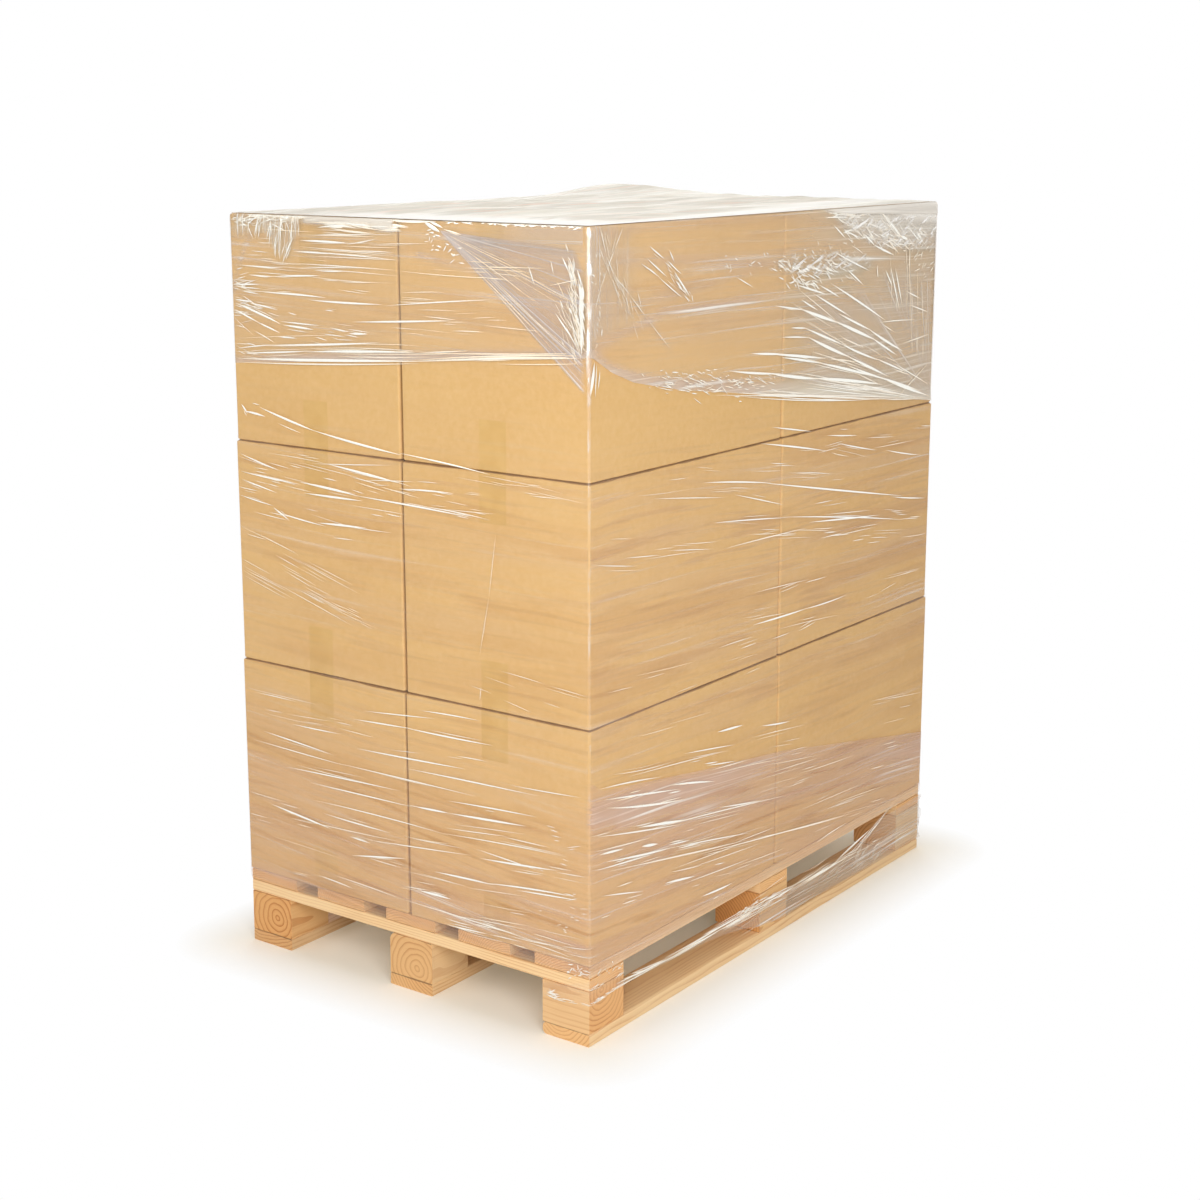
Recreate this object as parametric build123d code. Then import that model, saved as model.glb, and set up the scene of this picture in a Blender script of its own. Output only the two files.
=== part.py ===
"""A pallet load of twelve closed cartons, wrapped in clear stretch film.

Millimetres. X runs across the pallet, Y along it and Z up. The origin is at the middle of the
pallet's footprint, on the floor. "near" is the -Y end, "left" the -X side.
"""
from build123d import *
import os

# Pallet: long boards along Y, blocks between them and short boards across.
pallet_width = 800.0
pallet_length = 1200.0
board_thickness = 22.0
deck_board_count = 5
deck_board_width = 117.0
cross_board_width = 100.0
bottom_board_width = 100.0
block_side = 100.0
block_height = 78.0
wood_edge = 1.5

# Edges that keep the round outside of the log: radii by side of the piece and by its foot or head.
wane = {
    "block_near_centre": {(-1, 1): 14.0},
    "bottom_board_right": {(-1, -1): 9.0, (-1, 1): 9.0, (1, 1): 6.0},
}

# Cartons: two by two, in three layers, each a little wider at its top.
carton_width = 400.0
carton_length = 600.0
carton_height = 415.0
carton_spread = 3.5
carton_gap = 5.0
carton_corner = 5.0
carton_fold = 3.0
layers = ("bottom", "middle", "top")
flap_gap = 2.0
flap_depth = 4.0
tape_width = 58.0
tape_tail = 88.0
tape_thickness = 0.3

# Stretch film: the windings pressed together, over the cartons and the edge of the deck.
film_clearance = 0.3
film_thickness = 0.8
winding_step = 0.3
film_skirt = 22.0
film_square_corner = 1.0
gusset_step = 0.8
pleat_step = 1.2
crumple_step = 1.6
pleat_width = 9.0
short_pleat = 0.6

# The film's gathered start: where its upper and lower edges run along the right side of the
# pallet, as places along Y with heights. It is tied round the near block and fans out to the far.
tail_upper = [(-600, 121.8), (-502, 121.8), (-488, 96), (-396, 85), (36, 78), (324, 74)]
tail_upper += [(371, 101), (413, 117), (460, 121.8), (600, 121.8)]
tail_lower = [(600, 26), (300, 24), (150, 34), (-50, 54), (-250, 68), (-396, 77), (-488, 86)]
tail_lower += [(-505, 90), (-566, 81), (-600, 80)]
tail_near = [(300, 121.8), (400, 121.8), (400, 80), (370, 76), (300, 84)]
tail_near_height = 80.0
tail_far_height = 26.0

# The winding edges that show, face by face, as places across the face with heights.
upper_edge = {
    "near": [(-402, 1117), (-12, 1147), (218, 1167), (402, 1181)],
    "right": [(-602, 1181), (-547, 1151), (-483, 1128), (-339, 1100), (1, 1055), (309, 1017), (602, 979)],
    "far": [(-402, 979), (402, 1040)],
    "left": [(-602, 1040), (602, 1117)],
}
lower_edge = {
    "near": [(-402, 545), (402, 470)],
    "right": [(-602, 470), (-574, 450), (-269, 405), (8, 370), (602, 262)],
    "far": [(-402, 262), (402, 380)],
    "left": [(-602, 380), (602, 545)],
}
edge_reach = 12.0

# Film that lies folded or crumpled on the windings: the face, the outline in places with heights,
# and how far it stands proud.
gusset = [(100, 1371), (211, 1361), (289, 1353), (395, 1348), (395, 1116)]
flap = [(-395, 1334), (-321, 1343), (-292, 1314), (-262, 1310), (-218, 1358), (-216, 1383), (-395, 1383)]
roped_hem = [(-595, 1178), (-547, 1151), (-483, 1128), (-339, 1100), (1, 1055), (595, 980)]
roped_hem += [(595, 1000), (1, 1082), (-339, 1122), (-483, 1142), (-547, 1162)]
crumpled_belt = [(-36, 1290), (110, 1278), (214, 1265), (321, 1264), (287, 1308), (110, 1312), (-36, 1304)]
crumpled_corner = [(160, 1366), (202, 1340), (348, 1299), (519, 1290), (588, 1290), (588, 1383), (160, 1383)]
folds = [
    ("near", gusset, gusset_step),
    ("near", flap, crumple_step),
    ("right", roped_hem, pleat_step),
    ("right", crumpled_belt, crumple_step),
    ("right", crumpled_corner, crumple_step),
]

# Gathered pleats. Each row has its face, the first and last start, the first and last end, and a
# count: the pleats are spread evenly between the first and the last.
gathers = [
    ("right", (594, 990), (594, 1010), (-20, 1110), (60, 1285), 8),
    ("right", (-594, 430), (-594, 190), (590, 240), (590, 160), 6),
    ("right", (-594, 950), (-594, 620), (400, 860), (400, 520), 3),
    ("near", (-394, 1310), (-394, 1130), (90, 1320), (240, 1160), 7),
    ("near", (-394, 480), (-394, 210), (390, 450), (390, 170), 7),
    ("near", (-330, 1062), (-394, 940), (110, 988), (40, 905), 2),
    ("near", (390, 1130), (390, 1180), (150, 1350), (330, 1340), 4),
    ("far", (-390, 1330), (-390, 1010), (380, 1340), (380, 1080), 6),
    ("far", (-390, 240), (-390, 160), (390, 350), (390, 170), 4),
    ("left", (-590, 1340), (-590, 1080), (590, 1330), (590, 1150), 6),
    ("left", (-590, 350), (-590, 170), (590, 500), (590, 180), 5),
]

# Heights of the pallet's layers, from the floor up.
block_z = board_thickness
cross_z = block_z + block_height
deck_z = cross_z + board_thickness
load_z = deck_z + board_thickness
load_top = load_z + len(layers) * carton_height

sides = {"left": -1, "centre": 0, "right": 1}
ends = {"near": -1, "middle": 0, "far": 1}
face_turn = {"near": 0, "right": 90, "far": 180, "left": 270}


def save(node, shape):
    """Writes one node's solid or solids."""
    os.makedirs("parts", exist_ok=True)
    export_step(shape, f"parts/{node}.step")


def timber(name, width, length, height):
    """A sawn piece along Y, with its long edges eased, or rounded where it keeps the log's outside."""
    piece = Box(width, length, height)
    rounded = wane.get(name, {})
    for side in (-1, 1):
        for level in (-1, 1):
            corner = (side * width / 2, 0, level * height / 2)
            edge = piece.edges().filter_by(Axis.Y).sort_by_distance(corner)[0]
            radius = rounded.get((side, level))
            piece = fillet(edge, radius) if radius else chamfer(edge, wood_edge)
    return piece


def save_timber(name, width, length, height, x, y, z, turn=0):
    """Writes a sawn piece that stands on height z at x, y."""
    save(name, Pos(x, y, z + height / 2) * Rot(0, 0, turn) * timber(name, width, length, height))


def write_pallet():
    """Five deck boards, three cross boards, nine blocks and three bottom boards."""
    pitch = (pallet_width - deck_board_width) / (deck_board_count - 1)
    for index in range(deck_board_count):
        x = (index - (deck_board_count - 1) / 2) * pitch
        save_timber(f"deck_board_{index + 1}", deck_board_width, pallet_length, board_thickness, x, 0, deck_z)
    across = (pallet_width - block_side) / 2
    along = (pallet_length - block_side) / 2
    for end, row in ends.items():
        y = row * along
        save_timber(f"cross_board_{end}", cross_board_width, pallet_width, board_thickness, 0, y, cross_z, 90)
        for side, column in sides.items():
            x = column * across
            save_timber(f"block_{end}_{side}", block_side, block_side, block_height, x, y, block_z)
    for side, column in sides.items():
        x = column * across
        save_timber(f"bottom_board_{side}", bottom_board_width, pallet_length, board_thickness, x, 0, 0)


def outline(width, length, corner, z):
    """A rounded rectangle at height z."""
    return Pos(0, 0, z) * RectangleRounded(width, length, corner)


def carton_form(inset):
    """The outside of a carton, or that shape drawn in by an even inset."""
    shrink = 2 * inset
    wide = carton_width + carton_spread
    long = carton_length + carton_spread
    corner = carton_corner - inset
    fold = 2 * carton_fold
    sections = [
        outline(carton_width - fold - shrink, carton_length - fold - shrink, corner, inset),
        outline(carton_width - shrink, carton_length - shrink, corner, carton_fold),
        outline(wide - shrink, long - shrink, corner, carton_height - carton_fold),
        outline(wide - fold - shrink, long - fold - shrink, corner, carton_height - inset),
    ]
    return loft(sections, ruled=True)


def carton_and_tape():
    """One carton with the gap between its flaps, and the two strips of tape let into it."""
    body = carton_form(0)
    seam = Box(flap_gap, carton_length * 2, flap_depth * 2)
    for z in (0, carton_height):
        body -= Pos(0, 0, z) * seam
    skin = carton_form(0) - carton_form(tape_thickness)
    reach = Box(tape_width, carton_length * 2, tape_tail)
    strips = []
    for z in (tape_tail / 2, carton_height - tape_tail / 2):
        strips.append(skin & (Pos(0, 0, z) * reach))
    for strip in strips:
        body -= strip
    return body, strips


def write_cartons():
    """Three layers of four cartons, standing on the deck and on each other."""
    body, strips = carton_and_tape()
    x_step = (carton_width + carton_gap) / 2
    y_step = (carton_length + carton_gap) / 2
    for level, layer in enumerate(layers):
        z = load_z + level * carton_height
        for end in ("near", "far"):
            for side in ("left", "right"):
                place = Pos(sides[side] * x_step, ends[end] * y_step, z)
                name = f"{layer}_{end}_{side}"
                save(f"carton_{name}", place * body)
                save(f"tape_{name}", Compound([place * strip for strip in strips]))


def film_form(grow, top, bottom):
    """The film's surface as a solid: it follows the edge of each layer of cartons."""
    narrow = carton_gap / 2 + film_clearance + grow
    wide = narrow + carton_spread / 2
    corner = carton_corner + film_clearance + grow
    heights = [(load_z, narrow)]
    for level in range(len(layers)):
        layer_top = load_z + (level + 1) * carton_height
        heights.append((layer_top - carton_fold, wide))
        if level + 1 < len(layers):
            heights.append((layer_top + carton_fold, narrow))
    heights.append((top, wide - carton_fold))
    close = film_clearance + grow
    at_deck = outline(pallet_width + 2 * close, pallet_length + 2 * close, film_square_corner + grow, bottom)
    sections = [at_deck]
    for z, proud in heights:
        sections.append(outline(pallet_width + 2 * proud, pallet_length + 2 * proud, corner, z))
    return loft(sections, ruled=True)


def before_face(face, points):
    """The space just before and behind one face of the load, inside an outline drawn on it."""
    out = (pallet_width if face in ("left", "right") else pallet_length) / 2
    zone = extrude(make_face(Polyline(points, close=True)), edge_reach, both=True)
    return Rot(0, 0, face_turn[face]) * Pos(0, -out, 0) * Rot(90, 0, 0) * zone


def winding(relief, edge, limit):
    """One more thickness of film, from the edge that shows on the four faces to a height."""
    band = None
    for face, line in edge.items():
        start = (line[0][0] - edge_reach, line[0][1])
        stop = (line[-1][0] + edge_reach, line[-1][1])
        outline_points = [start, *line, stop, (stop[0], limit), (start[0], limit)]
        piece = relief & before_face(face, outline_points)
        band = piece if band is None else band + piece
    return band


def between(first, last, share):
    """The point at a share of the way from the first to the last."""
    return Vector(*first) + (Vector(*last) - Vector(*first)) * share


def pleats(first_start, last_start, first_end, last_end, count):
    """Outlines of a row of pleats: each is a narrow kite, and every other one is shorter."""
    outlines = []
    for index in range(count):
        share = index / (count - 1)
        start = between(first_start, last_start, share)
        end = between(first_end, last_end, share)
        if index % 2:
            end = between(start, end, short_pleat)
        middle = between(start, end, 0.5)
        side = (end - start).normalized().rotate(Axis.Z, 90) * (pleat_width / 2)
        outlines.append([start, middle + side, end, middle - side])
    return outlines


def write_film():
    """The wrap over the cartons, closed over the top, with its windings, folds and pleats."""
    bottom = load_z - film_skirt
    film_top = load_top + film_clearance + film_thickness
    inside = film_form(0, load_top + film_clearance, bottom)
    outside = film_form(film_thickness, film_top, bottom)
    second = film_form(film_thickness + winding_step, film_top, bottom) - outside
    wrap = (outside - inside) + winding(second, upper_edge, film_top) + winding(second, lower_edge, 0)
    plates = [(before_face(face, points), step) for face, points, step in folds]
    for face, *row in gathers:
        plates += [(before_face(face, points), pleat_step) for points in pleats(*row)]
    for step in (gusset_step, pleat_step, crumple_step):
        layer = film_form(film_thickness + step, film_top, bottom) - outside
        wrap += [layer & plate for plate, own_step in plates if own_step == step]
    save("film_wrap", wrap)


def skirt_piece(points, face):
    """A flat stretch of film against one face of the pallet, drawn as places and heights."""
    sheet = extrude(make_face(Polyline(points, close=True)), film_thickness)
    out = (pallet_width if face == "right" else pallet_length) / 2 + film_clearance
    return Rot(0, 0, face_turn[face]) * Pos(0, -out, 0) * Rot(90, 0, 0) * sheet


def write_tail():
    """The start of the film: tied round the near right block, then fanned out along the pallet."""
    half = pallet_width / 2
    top = tail_upper[0][1]
    close = film_clearance + film_thickness
    right = skirt_piece(tail_upper + tail_lower, "right")
    near = skirt_piece(tail_near, "near")
    far = skirt_piece([(-half, tail_far_height), (-half, top), (half, top)], "far")
    corner_near = Pos(half + close / 2, -pallet_length / 2 - close / 2, (tail_near_height + top) / 2)
    corner_far = Pos(half + close / 2, pallet_length / 2 + close / 2, (tail_far_height + top) / 2)
    bead = Box(close, close, top - tail_near_height)
    tall = Box(close, close, top - tail_far_height)
    save("film_tail", right + near + far + corner_near * bead + corner_far * tall)


write_pallet()
write_cartons()
write_film()
write_tail()
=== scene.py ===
"""The looks of a wrapped pallet load: pine, kraft cartons, and stretch film with its pleats.

Places on the film are given as a face of the load, millimetres across it from its left edge as
seen from outside, and height above the floor. Round the load the faces follow each other as near
(the -Y end), right (+X), far (+Y) and left (-X), so a place can also be a distance round it.
"""

import math

import bpy
import numpy as np
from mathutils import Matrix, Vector


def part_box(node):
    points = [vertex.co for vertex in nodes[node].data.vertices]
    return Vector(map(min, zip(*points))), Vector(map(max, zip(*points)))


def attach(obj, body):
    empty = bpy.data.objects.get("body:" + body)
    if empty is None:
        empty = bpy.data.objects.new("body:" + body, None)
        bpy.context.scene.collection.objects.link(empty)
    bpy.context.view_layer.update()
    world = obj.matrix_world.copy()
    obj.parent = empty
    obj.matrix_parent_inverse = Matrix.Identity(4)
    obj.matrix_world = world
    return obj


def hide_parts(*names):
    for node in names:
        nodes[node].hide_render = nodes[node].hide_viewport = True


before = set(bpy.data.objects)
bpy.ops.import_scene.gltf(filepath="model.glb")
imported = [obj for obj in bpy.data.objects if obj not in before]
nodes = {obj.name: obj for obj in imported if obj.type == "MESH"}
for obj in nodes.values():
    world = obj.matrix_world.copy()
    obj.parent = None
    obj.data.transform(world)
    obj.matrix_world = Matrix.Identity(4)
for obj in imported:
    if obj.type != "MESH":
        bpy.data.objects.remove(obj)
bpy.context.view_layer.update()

MM = 0.001
PHOTO = 1200.0

# The camera at the photograph's place. Its pitch is fitted to a small shift of the picture.
FOCAL_PIXELS = 2045.0
CAMERA_PLACE = (2.328, -3.2269, 1.559)
CAMERA_PAN = 35.96
CAMERA_PITCH = 10.05
CAMERA_SHIFT = -0.1
SENSOR = 36.0

# The load's size, read from the frame.
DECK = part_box("deck_board_1")
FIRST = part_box("carton_bottom_near_left")
LOAD_BASE = FIRST[0].z / MM
LAYER = (FIRST[1].z - FIRST[0].z) / MM
LAYERS = 3
LOAD_TOP = LOAD_BASE + LAYERS * LAYER
DECK_UNDER = DECK[0].z / MM
HALF_X = -DECK[0].x / MM
HALF_Y = -DECK[0].y / MM
FACE_WIDTH = {"near": 2 * HALF_X, "right": 2 * HALF_Y, "far": 2 * HALF_X, "left": 2 * HALF_Y}
FACE_START = {"near": 0, "right": 2 * HALF_X, "far": 2 * (HALF_X + HALF_Y), "left": 4 * HALF_X + 2 * HALF_Y}
ROUND = 4 * (HALF_X + HALF_Y)
FACES = ("near", "right", "far", "left")

# How far the film stands out from the pallet's footprint: at the deck, where a layer starts, at a
# layer's upper edge and at the top of the load. BRIDGE is the height in which it turns in again.
AT_DECK = 0.9
NARROW = 3.4
WIDE = 5.1
AT_TOP = 2.1
BRIDGE = 22.0
# The corners' radius on the cartons and on the deck, and the heights between which it changes.
CORNER = 6.0
DECK_CORNER = 1.5
CORNER_HEIGHTS = (LOAD_BASE - 8, LOAD_BASE + 12)
# Heights of the film's lower and upper edge.
FILM_FOOT = DECK_UNDER + 3
FILM_RIM = LOAD_TOP + 1
# How far the film over the top reaches past the footprint.
TOP_OVERHANG = 3


class Shader:
    """The node tree of a material, or of a world, built up by short calls."""

    def __init__(self, name, kind="materials"):
        self.owner = getattr(bpy.data, kind).new(name)
        self.owner.use_nodes = True
        self.tree = self.owner.node_tree
        self.tree.nodes.clear()

    def add(self, kind, values=None, **settings):
        """One node; values maps its inputs, by name or number, to a number or a socket."""
        node = self.tree.nodes.new(kind)
        for key, value in settings.items():
            setattr(node, key, value)
        for key, value in (values or {}).items():
            self.feed(node.inputs[key], value)
        return node

    def feed(self, socket, value):
        if isinstance(value, bpy.types.NodeSocket):
            self.tree.links.new(value, socket)
        else:
            socket.default_value = value

    def math(self, operation, first, second=0.0, third=0.0, clamp=False):
        values = {0: first, 1: second, 2: third}
        return self.add("ShaderNodeMath", values, operation=operation, use_clamp=clamp).outputs[0]

    def vector(self, operation, first, second=(0, 0, 0)):
        node = self.add("ShaderNodeVectorMath", {0: first, 1: second}, operation=operation)
        return node.outputs["Value" if operation in ("LENGTH", "DOT_PRODUCT") else "Vector"]

    def place(self):
        return self.add("ShaderNodeTexCoord").outputs["Object"]

    def parts(self, vector):
        return self.add("ShaderNodeSeparateXYZ", {0: vector}).outputs

    def join(self, x=0.0, y=0.0):
        return self.add("ShaderNodeCombineXYZ", {0: x, 1: y}).outputs[0]

    def noise(self, vector, scale, detail=2.0, roughness=0.5, distortion=0.0):
        values = {"Vector": vector, "Scale": scale, "Detail": detail, "Roughness": roughness,
                  "Distortion": distortion}
        return self.add("ShaderNodeTexNoise", values).outputs

    def flat_noise(self, vector, across, up, detail=1.0, roughness=0.5, distortion=0.0):
        """Noise on a sheet's own two directions, with so many waves in each metre."""
        place = self.vector("MULTIPLY", vector, (across, up, 1.0))
        values = {"Vector": place, "Scale": 1.0, "Detail": detail, "Roughness": roughness,
                  "Distortion": distortion}
        return self.add("ShaderNodeTexNoise", values, noise_dimensions="2D").outputs[0]

    def spread(self, value, low, high, to_low=0.0, to_high=1.0):
        """Maps low..high to to_low..to_high, clamped."""
        values = {"Value": value, "From Min": low, "From Max": high, "To Min": to_low, "To Max": to_high}
        return self.add("ShaderNodeMapRange", values).outputs[0]

    def mix(self, share, first, second, blend="MIX"):
        node = self.add("ShaderNodeMix", data_type="RGBA", blend_type=blend)
        self.feed(node.inputs["Factor"], share)
        self.feed(node.inputs["A"], first)
        self.feed(node.inputs["B"], second)
        return node.outputs["Result"]

    def bump(self, height, strength, distance, normal=None):
        values = {"Height": height, "Strength": strength, "Distance": distance}
        if normal is not None:
            values["Normal"] = normal
        return self.add("ShaderNodeBump", values).outputs[0]

    def seen(self):
        """1 on rays from the camera, and on those that a mirror or clear film sends on."""
        path = self.add("ShaderNodeLightPath").outputs
        seen = self.math("MAXIMUM", path["Is Camera Ray"], path["Is Glossy Ray"])
        return self.math("MAXIMUM", seen, path["Is Transmission Ray"])

    def shader(self, kind, tone, strength=None):
        values = {"Color": tone} if strength is None else {"Color": tone, "Strength": strength}
        return self.add(f"ShaderNode{kind}", values).outputs[0]

    def blend(self, share, first, second):
        """One shader that turns into another."""
        return self.add("ShaderNodeMixShader", {0: share, 1: first, 2: second}).outputs[0]

    def end(self, shader, kind="Material"):
        """Ends the tree in this shader."""
        out = self.add(f"ShaderNodeOutput{kind}")
        self.tree.links.new(shader, out.inputs["Surface"])
        return self.owner

    def finish(self, **inputs):
        """Ends the tree in one surface shader with these inputs."""
        values = {key.replace("_", " "): value for key, value in inputs.items()}
        return self.end(self.add("ShaderNodeBsdfPrincipled", values).outputs[0])


def colour(red, green, blue):
    """A colour written as it shows on a screen, 0 to 255, as the linear values that nodes take."""
    def linear(part):
        part /= 255
        return part / 12.92 if part <= 0.04045 else ((part + 0.055) / 1.055) ** 2.4
    return (linear(red), linear(green), linear(blue), 1.0)


# The cartons' and the pallet's colours. FLUTE is the spacing of the board's flutes in millimetres.
KRAFT = colour(229, 187, 123)
KRAFT_DARK = colour(223, 179, 114)
KRAFT_PALE = colour(235, 196, 140)
# The next colour is painted shade, for the joints between the cartons and the cracks in the pallet.
PAINTED_GAP_SHADE = colour(116, 74, 40)
FLUTE = 7.2


def joint_shade(s, parts, place):
    """Shade in the joints between the layers, and between the two near and the two far cartons."""
    layer = s.math("DIVIDE", s.math("SUBTRACT", parts[2], LOAD_BASE * MM), LAYER * MM)
    joint = s.math("ABSOLUTE", s.math("SUBTRACT", layer, s.math("ROUND", layer)))
    uneven = s.spread(s.noise(place, 14.0, 2.0)[0], 0.3, 0.7, 1.4 / LAYER, 3.0 / LAYER)
    joint = s.spread(s.math("SUBTRACT", uneven, joint), 0.0, 1.2 / LAYER, 0.0, 0.75)
    joint = s.math("MULTIPLY", joint, s.spread(layer, LAYERS - 0.05, LAYERS - 0.04, 1.0, 0.0))
    upright = s.spread(s.math("ABSOLUTE", parts[0]), 1.0 * MM, 3.2 * MM, 0.55, 0.0)
    return s.math("MAXIMUM", joint, upright)


def cardboard():
    """Kraft board: cloudy tone, fine fibres, and the faint washboard of its upright flutes."""
    s = Shader("kraft_board")
    place = s.place()
    cloud = s.spread(s.noise(place, 3.0, 3.0)[0], 0.3, 0.7)
    tone = s.mix(cloud, KRAFT_DARK, KRAFT)
    mottle = s.spread(s.noise(place, 90.0, 4.0, 0.7)[0], 0.35, 0.7, 0.0, 0.5)
    tone = s.mix(mottle, tone, KRAFT_PALE)
    stretched = s.vector("MULTIPLY", place, (900.0, 900.0, 220.0))
    fibre = s.noise(stretched, 1.0, 2.0)[0]
    tone = s.mix(s.spread(fibre, 0.55, 0.8, 0.0, 0.35), tone, KRAFT_DARK)
    parts = s.parts(place)
    # Painted shade in the joints between the layers and between the cartons.
    tone = s.mix(joint_shade(s, parts, place), tone, PAINTED_GAP_SHADE)
    along = s.math("ADD", parts[0], parts[1])
    flutes = s.math("SINE", s.math("MULTIPLY", along, 2 * math.pi / (FLUTE * MM)))
    relief = s.bump(flutes, 0.12, 0.06 * MM)
    relief = s.bump(fibre, 0.3, 0.2 * MM, relief)
    rough = s.spread(fibre, 0.3, 0.7, 0.62, 0.78)
    return s.finish(Base_Color=tone, Roughness=rough, Normal=relief)


def packing_tape():
    """Thin tan tape: a little darker than the board, with a satin face and fine length lines."""
    s = Shader("packing_tape")
    place = s.place()
    lines = s.noise(s.vector("MULTIPLY", place, (500.0, 8.0, 60.0)), 1.0, 2.0)[0]
    patches = s.spread(s.noise(place, 30.0, 3.0)[0], 0.35, 0.65)
    tone = s.mix(patches, colour(218, 174, 102), colour(224, 182, 112))
    parts = s.parts(place)
    # Painted shade in the joints, as on the board.
    tone = s.mix(joint_shade(s, parts, place), tone, PAINTED_GAP_SHADE)
    relief = s.bump(lines, 0.25, 0.2 * MM)
    return s.finish(Base_Color=tone, Roughness=s.spread(lines, 0.3, 0.7, 0.28, 0.4), Normal=relief)


EARLY_WOOD = colour(240, 202, 150)
LATE_WOOD = colour(200, 138, 80)
PALE_WOOD = colour(246, 216, 168)
END_TINT = colour(250, 234, 214)
KNOT = colour(158, 100, 58)

# Heights of the cracks between the pallet's boards and blocks, in metres.
PALLET_JOINTS = [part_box(name)[1].z for name in ("bottom_board_left", "block_near_left", "cross_board_near")]


def pallet_crack_shade(s, place, facing):
    """Shade in the cracks where the pallet's boards and blocks meet, on their upright faces."""
    height = s.parts(place)[2]
    upward = s.math("ABSOLUTE", s.parts(facing)[2])
    uneven = s.spread(s.noise(place, 25.0, 2.0)[0], 0.3, 0.7, 0.6 * MM, 2.2 * MM)
    shade = 0.0
    for joint in PALLET_JOINTS:
        gap = s.math("ABSOLUTE", s.math("SUBTRACT", height, joint))
        shade = s.math("MAXIMUM", shade, s.spread(s.math("SUBTRACT", uneven, gap), 0.0, 0.8 * MM, 0.0, 0.7))
    return s.math("MULTIPLY", shade, s.spread(upward, 0.3, 0.6, 1.0, 0.0))


def directed(fibre, across, along):
    """A scale for each axis: along is the fibre's own, and across that of the other two."""
    return tuple(along if axis == fibre else across for axis in range(3))


def pine(name, fibre, pith, seed, ring=5.0, tone=(1.0, 1.0, 1.0)):
    """Sawn pine: growth rings round a pith line along the fibre, so ends show arcs and sides lines.

    fibre is the axis number, pith a point in millimetres on the line, ring the rings' spacing.
    """
    s = Shader(name)
    place = s.place()
    moved = s.vector("ADD", place, (seed * 3.17, seed * 1.73, seed * 2.41))
    slow = s.vector("MULTIPLY", moved, directed(fibre, 5.0, 1.2))
    warp = s.noise(slow, 1.6, 2.0, 0.55).get("Color")
    warp = s.vector("MULTIPLY", s.vector("SUBTRACT", warp, (0.5, 0.5, 0.5)), (0.016, 0.016, 0.016))
    centred = s.vector("SUBTRACT", place, tuple(value * MM for value in pith))
    centred = s.vector("ADD", centred, warp)
    distance = s.vector("LENGTH", s.vector("MULTIPLY", centred, directed(fibre, 1.0, 0.0)))
    distance = s.math("MULTIPLY_ADD", s.noise(slow, 7.0, 1.0)[0], ring * MM * 0.9, distance)
    rings = s.math("FRACT", s.math("DIVIDE", distance, ring * MM))
    late = s.spread(s.math("POWER", rings, 3.5), 0.1, 0.75)
    facing = s.add("ShaderNodeNewGeometry").outputs["Normal"]
    end = s.math("ABSOLUTE", s.vector("DOT_PRODUCT", facing, directed(fibre, 0.0, 1.0)))
    end = s.spread(end, 0.6, 0.9)
    fade = s.spread(s.noise(moved, 9.0, 2.0)[0], 0.3, 0.7, 0.3, 0.75)
    fade = s.math("MULTIPLY_ADD", end, 0.45, fade, clamp=True)
    late = s.math("MULTIPLY", late, fade)
    fine = s.noise(s.vector("MULTIPLY", moved, directed(fibre, 420.0, 9.0)), 1.0, 3.0, 0.6)[0]
    base = s.mix(late, EARLY_WOOD, LATE_WOOD)
    base = s.mix(s.spread(fine, 0.5, 0.8, 0.0, 0.3), base, LATE_WOOD)
    cloud = s.noise(moved, 4.0, 2.0)[0]
    base = s.mix(s.spread(cloud, 0.35, 0.7, 0.0, 0.45), base, PALE_WOOD)
    spaced = s.vector("MULTIPLY", moved, directed(fibre, 7.0, 3.6))
    knots = s.add("ShaderNodeTexVoronoi", {"Vector": spaced, "Scale": 1.0})
    knot = s.spread(s.math("MULTIPLY_ADD", fine, 0.03, knots.outputs["Distance"]), 0.05, 0.09, 1.0, 0.0)
    base = s.mix(s.math("MULTIPLY", knot, 0.8), base, KNOT)
    base = s.mix(end, base, s.mix(1.0, base, END_TINT, "MULTIPLY"))
    base = s.mix(1.0, base, (*tone, 1.0), "MULTIPLY")
    # Painted shade in the cracks between the boards and blocks.
    base = s.mix(pallet_crack_shade(s, place, facing), base, PAINTED_GAP_SHADE)
    relief = s.bump(fine, 0.4, 0.6 * MM, s.bump(late, 0.35, 0.5 * MM))
    return s.finish(Base_Color=base, Roughness=s.spread(fine, 0.3, 0.7, 0.55, 0.75), Normal=relief)


def dress(name, material):
    """Gives a node of the frame a better material."""
    nodes[name].data.materials.clear()
    nodes[name].data.materials.append(material)


# Tones that multiply a board's or block's colour.
ORANGE = (0.98, 0.88, 0.74)
PLAIN = (1.0, 1.0, 1.0)
GREYED = (0.92, 0.9, 0.9)
ROSY = (1.0, 0.93, 0.87)
BLEACHED = (1.06, 1.07, 1.09)
PALE_SAWN = (1.14, 1.16, 1.19)


def dress_boards(kind, names, fibre, shifts, heights, seed, ring, tones):
    """Like boards, each with its pith line shifted sideways from its middle, at its own height."""
    for index, (name, shift, height, tone) in enumerate(zip(names, shifts, heights, tones)):
        low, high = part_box(f"{kind}_board_{name}")
        pith = [0, 0, height]
        pith[1 - fibre] = (low + high)[1 - fibre] / 2 / MM + shift
        dress(f"{kind}_board_{name}", pine(f"pine_{kind}_{name}", fibre, pith, seed + index, ring, tone))


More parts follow.
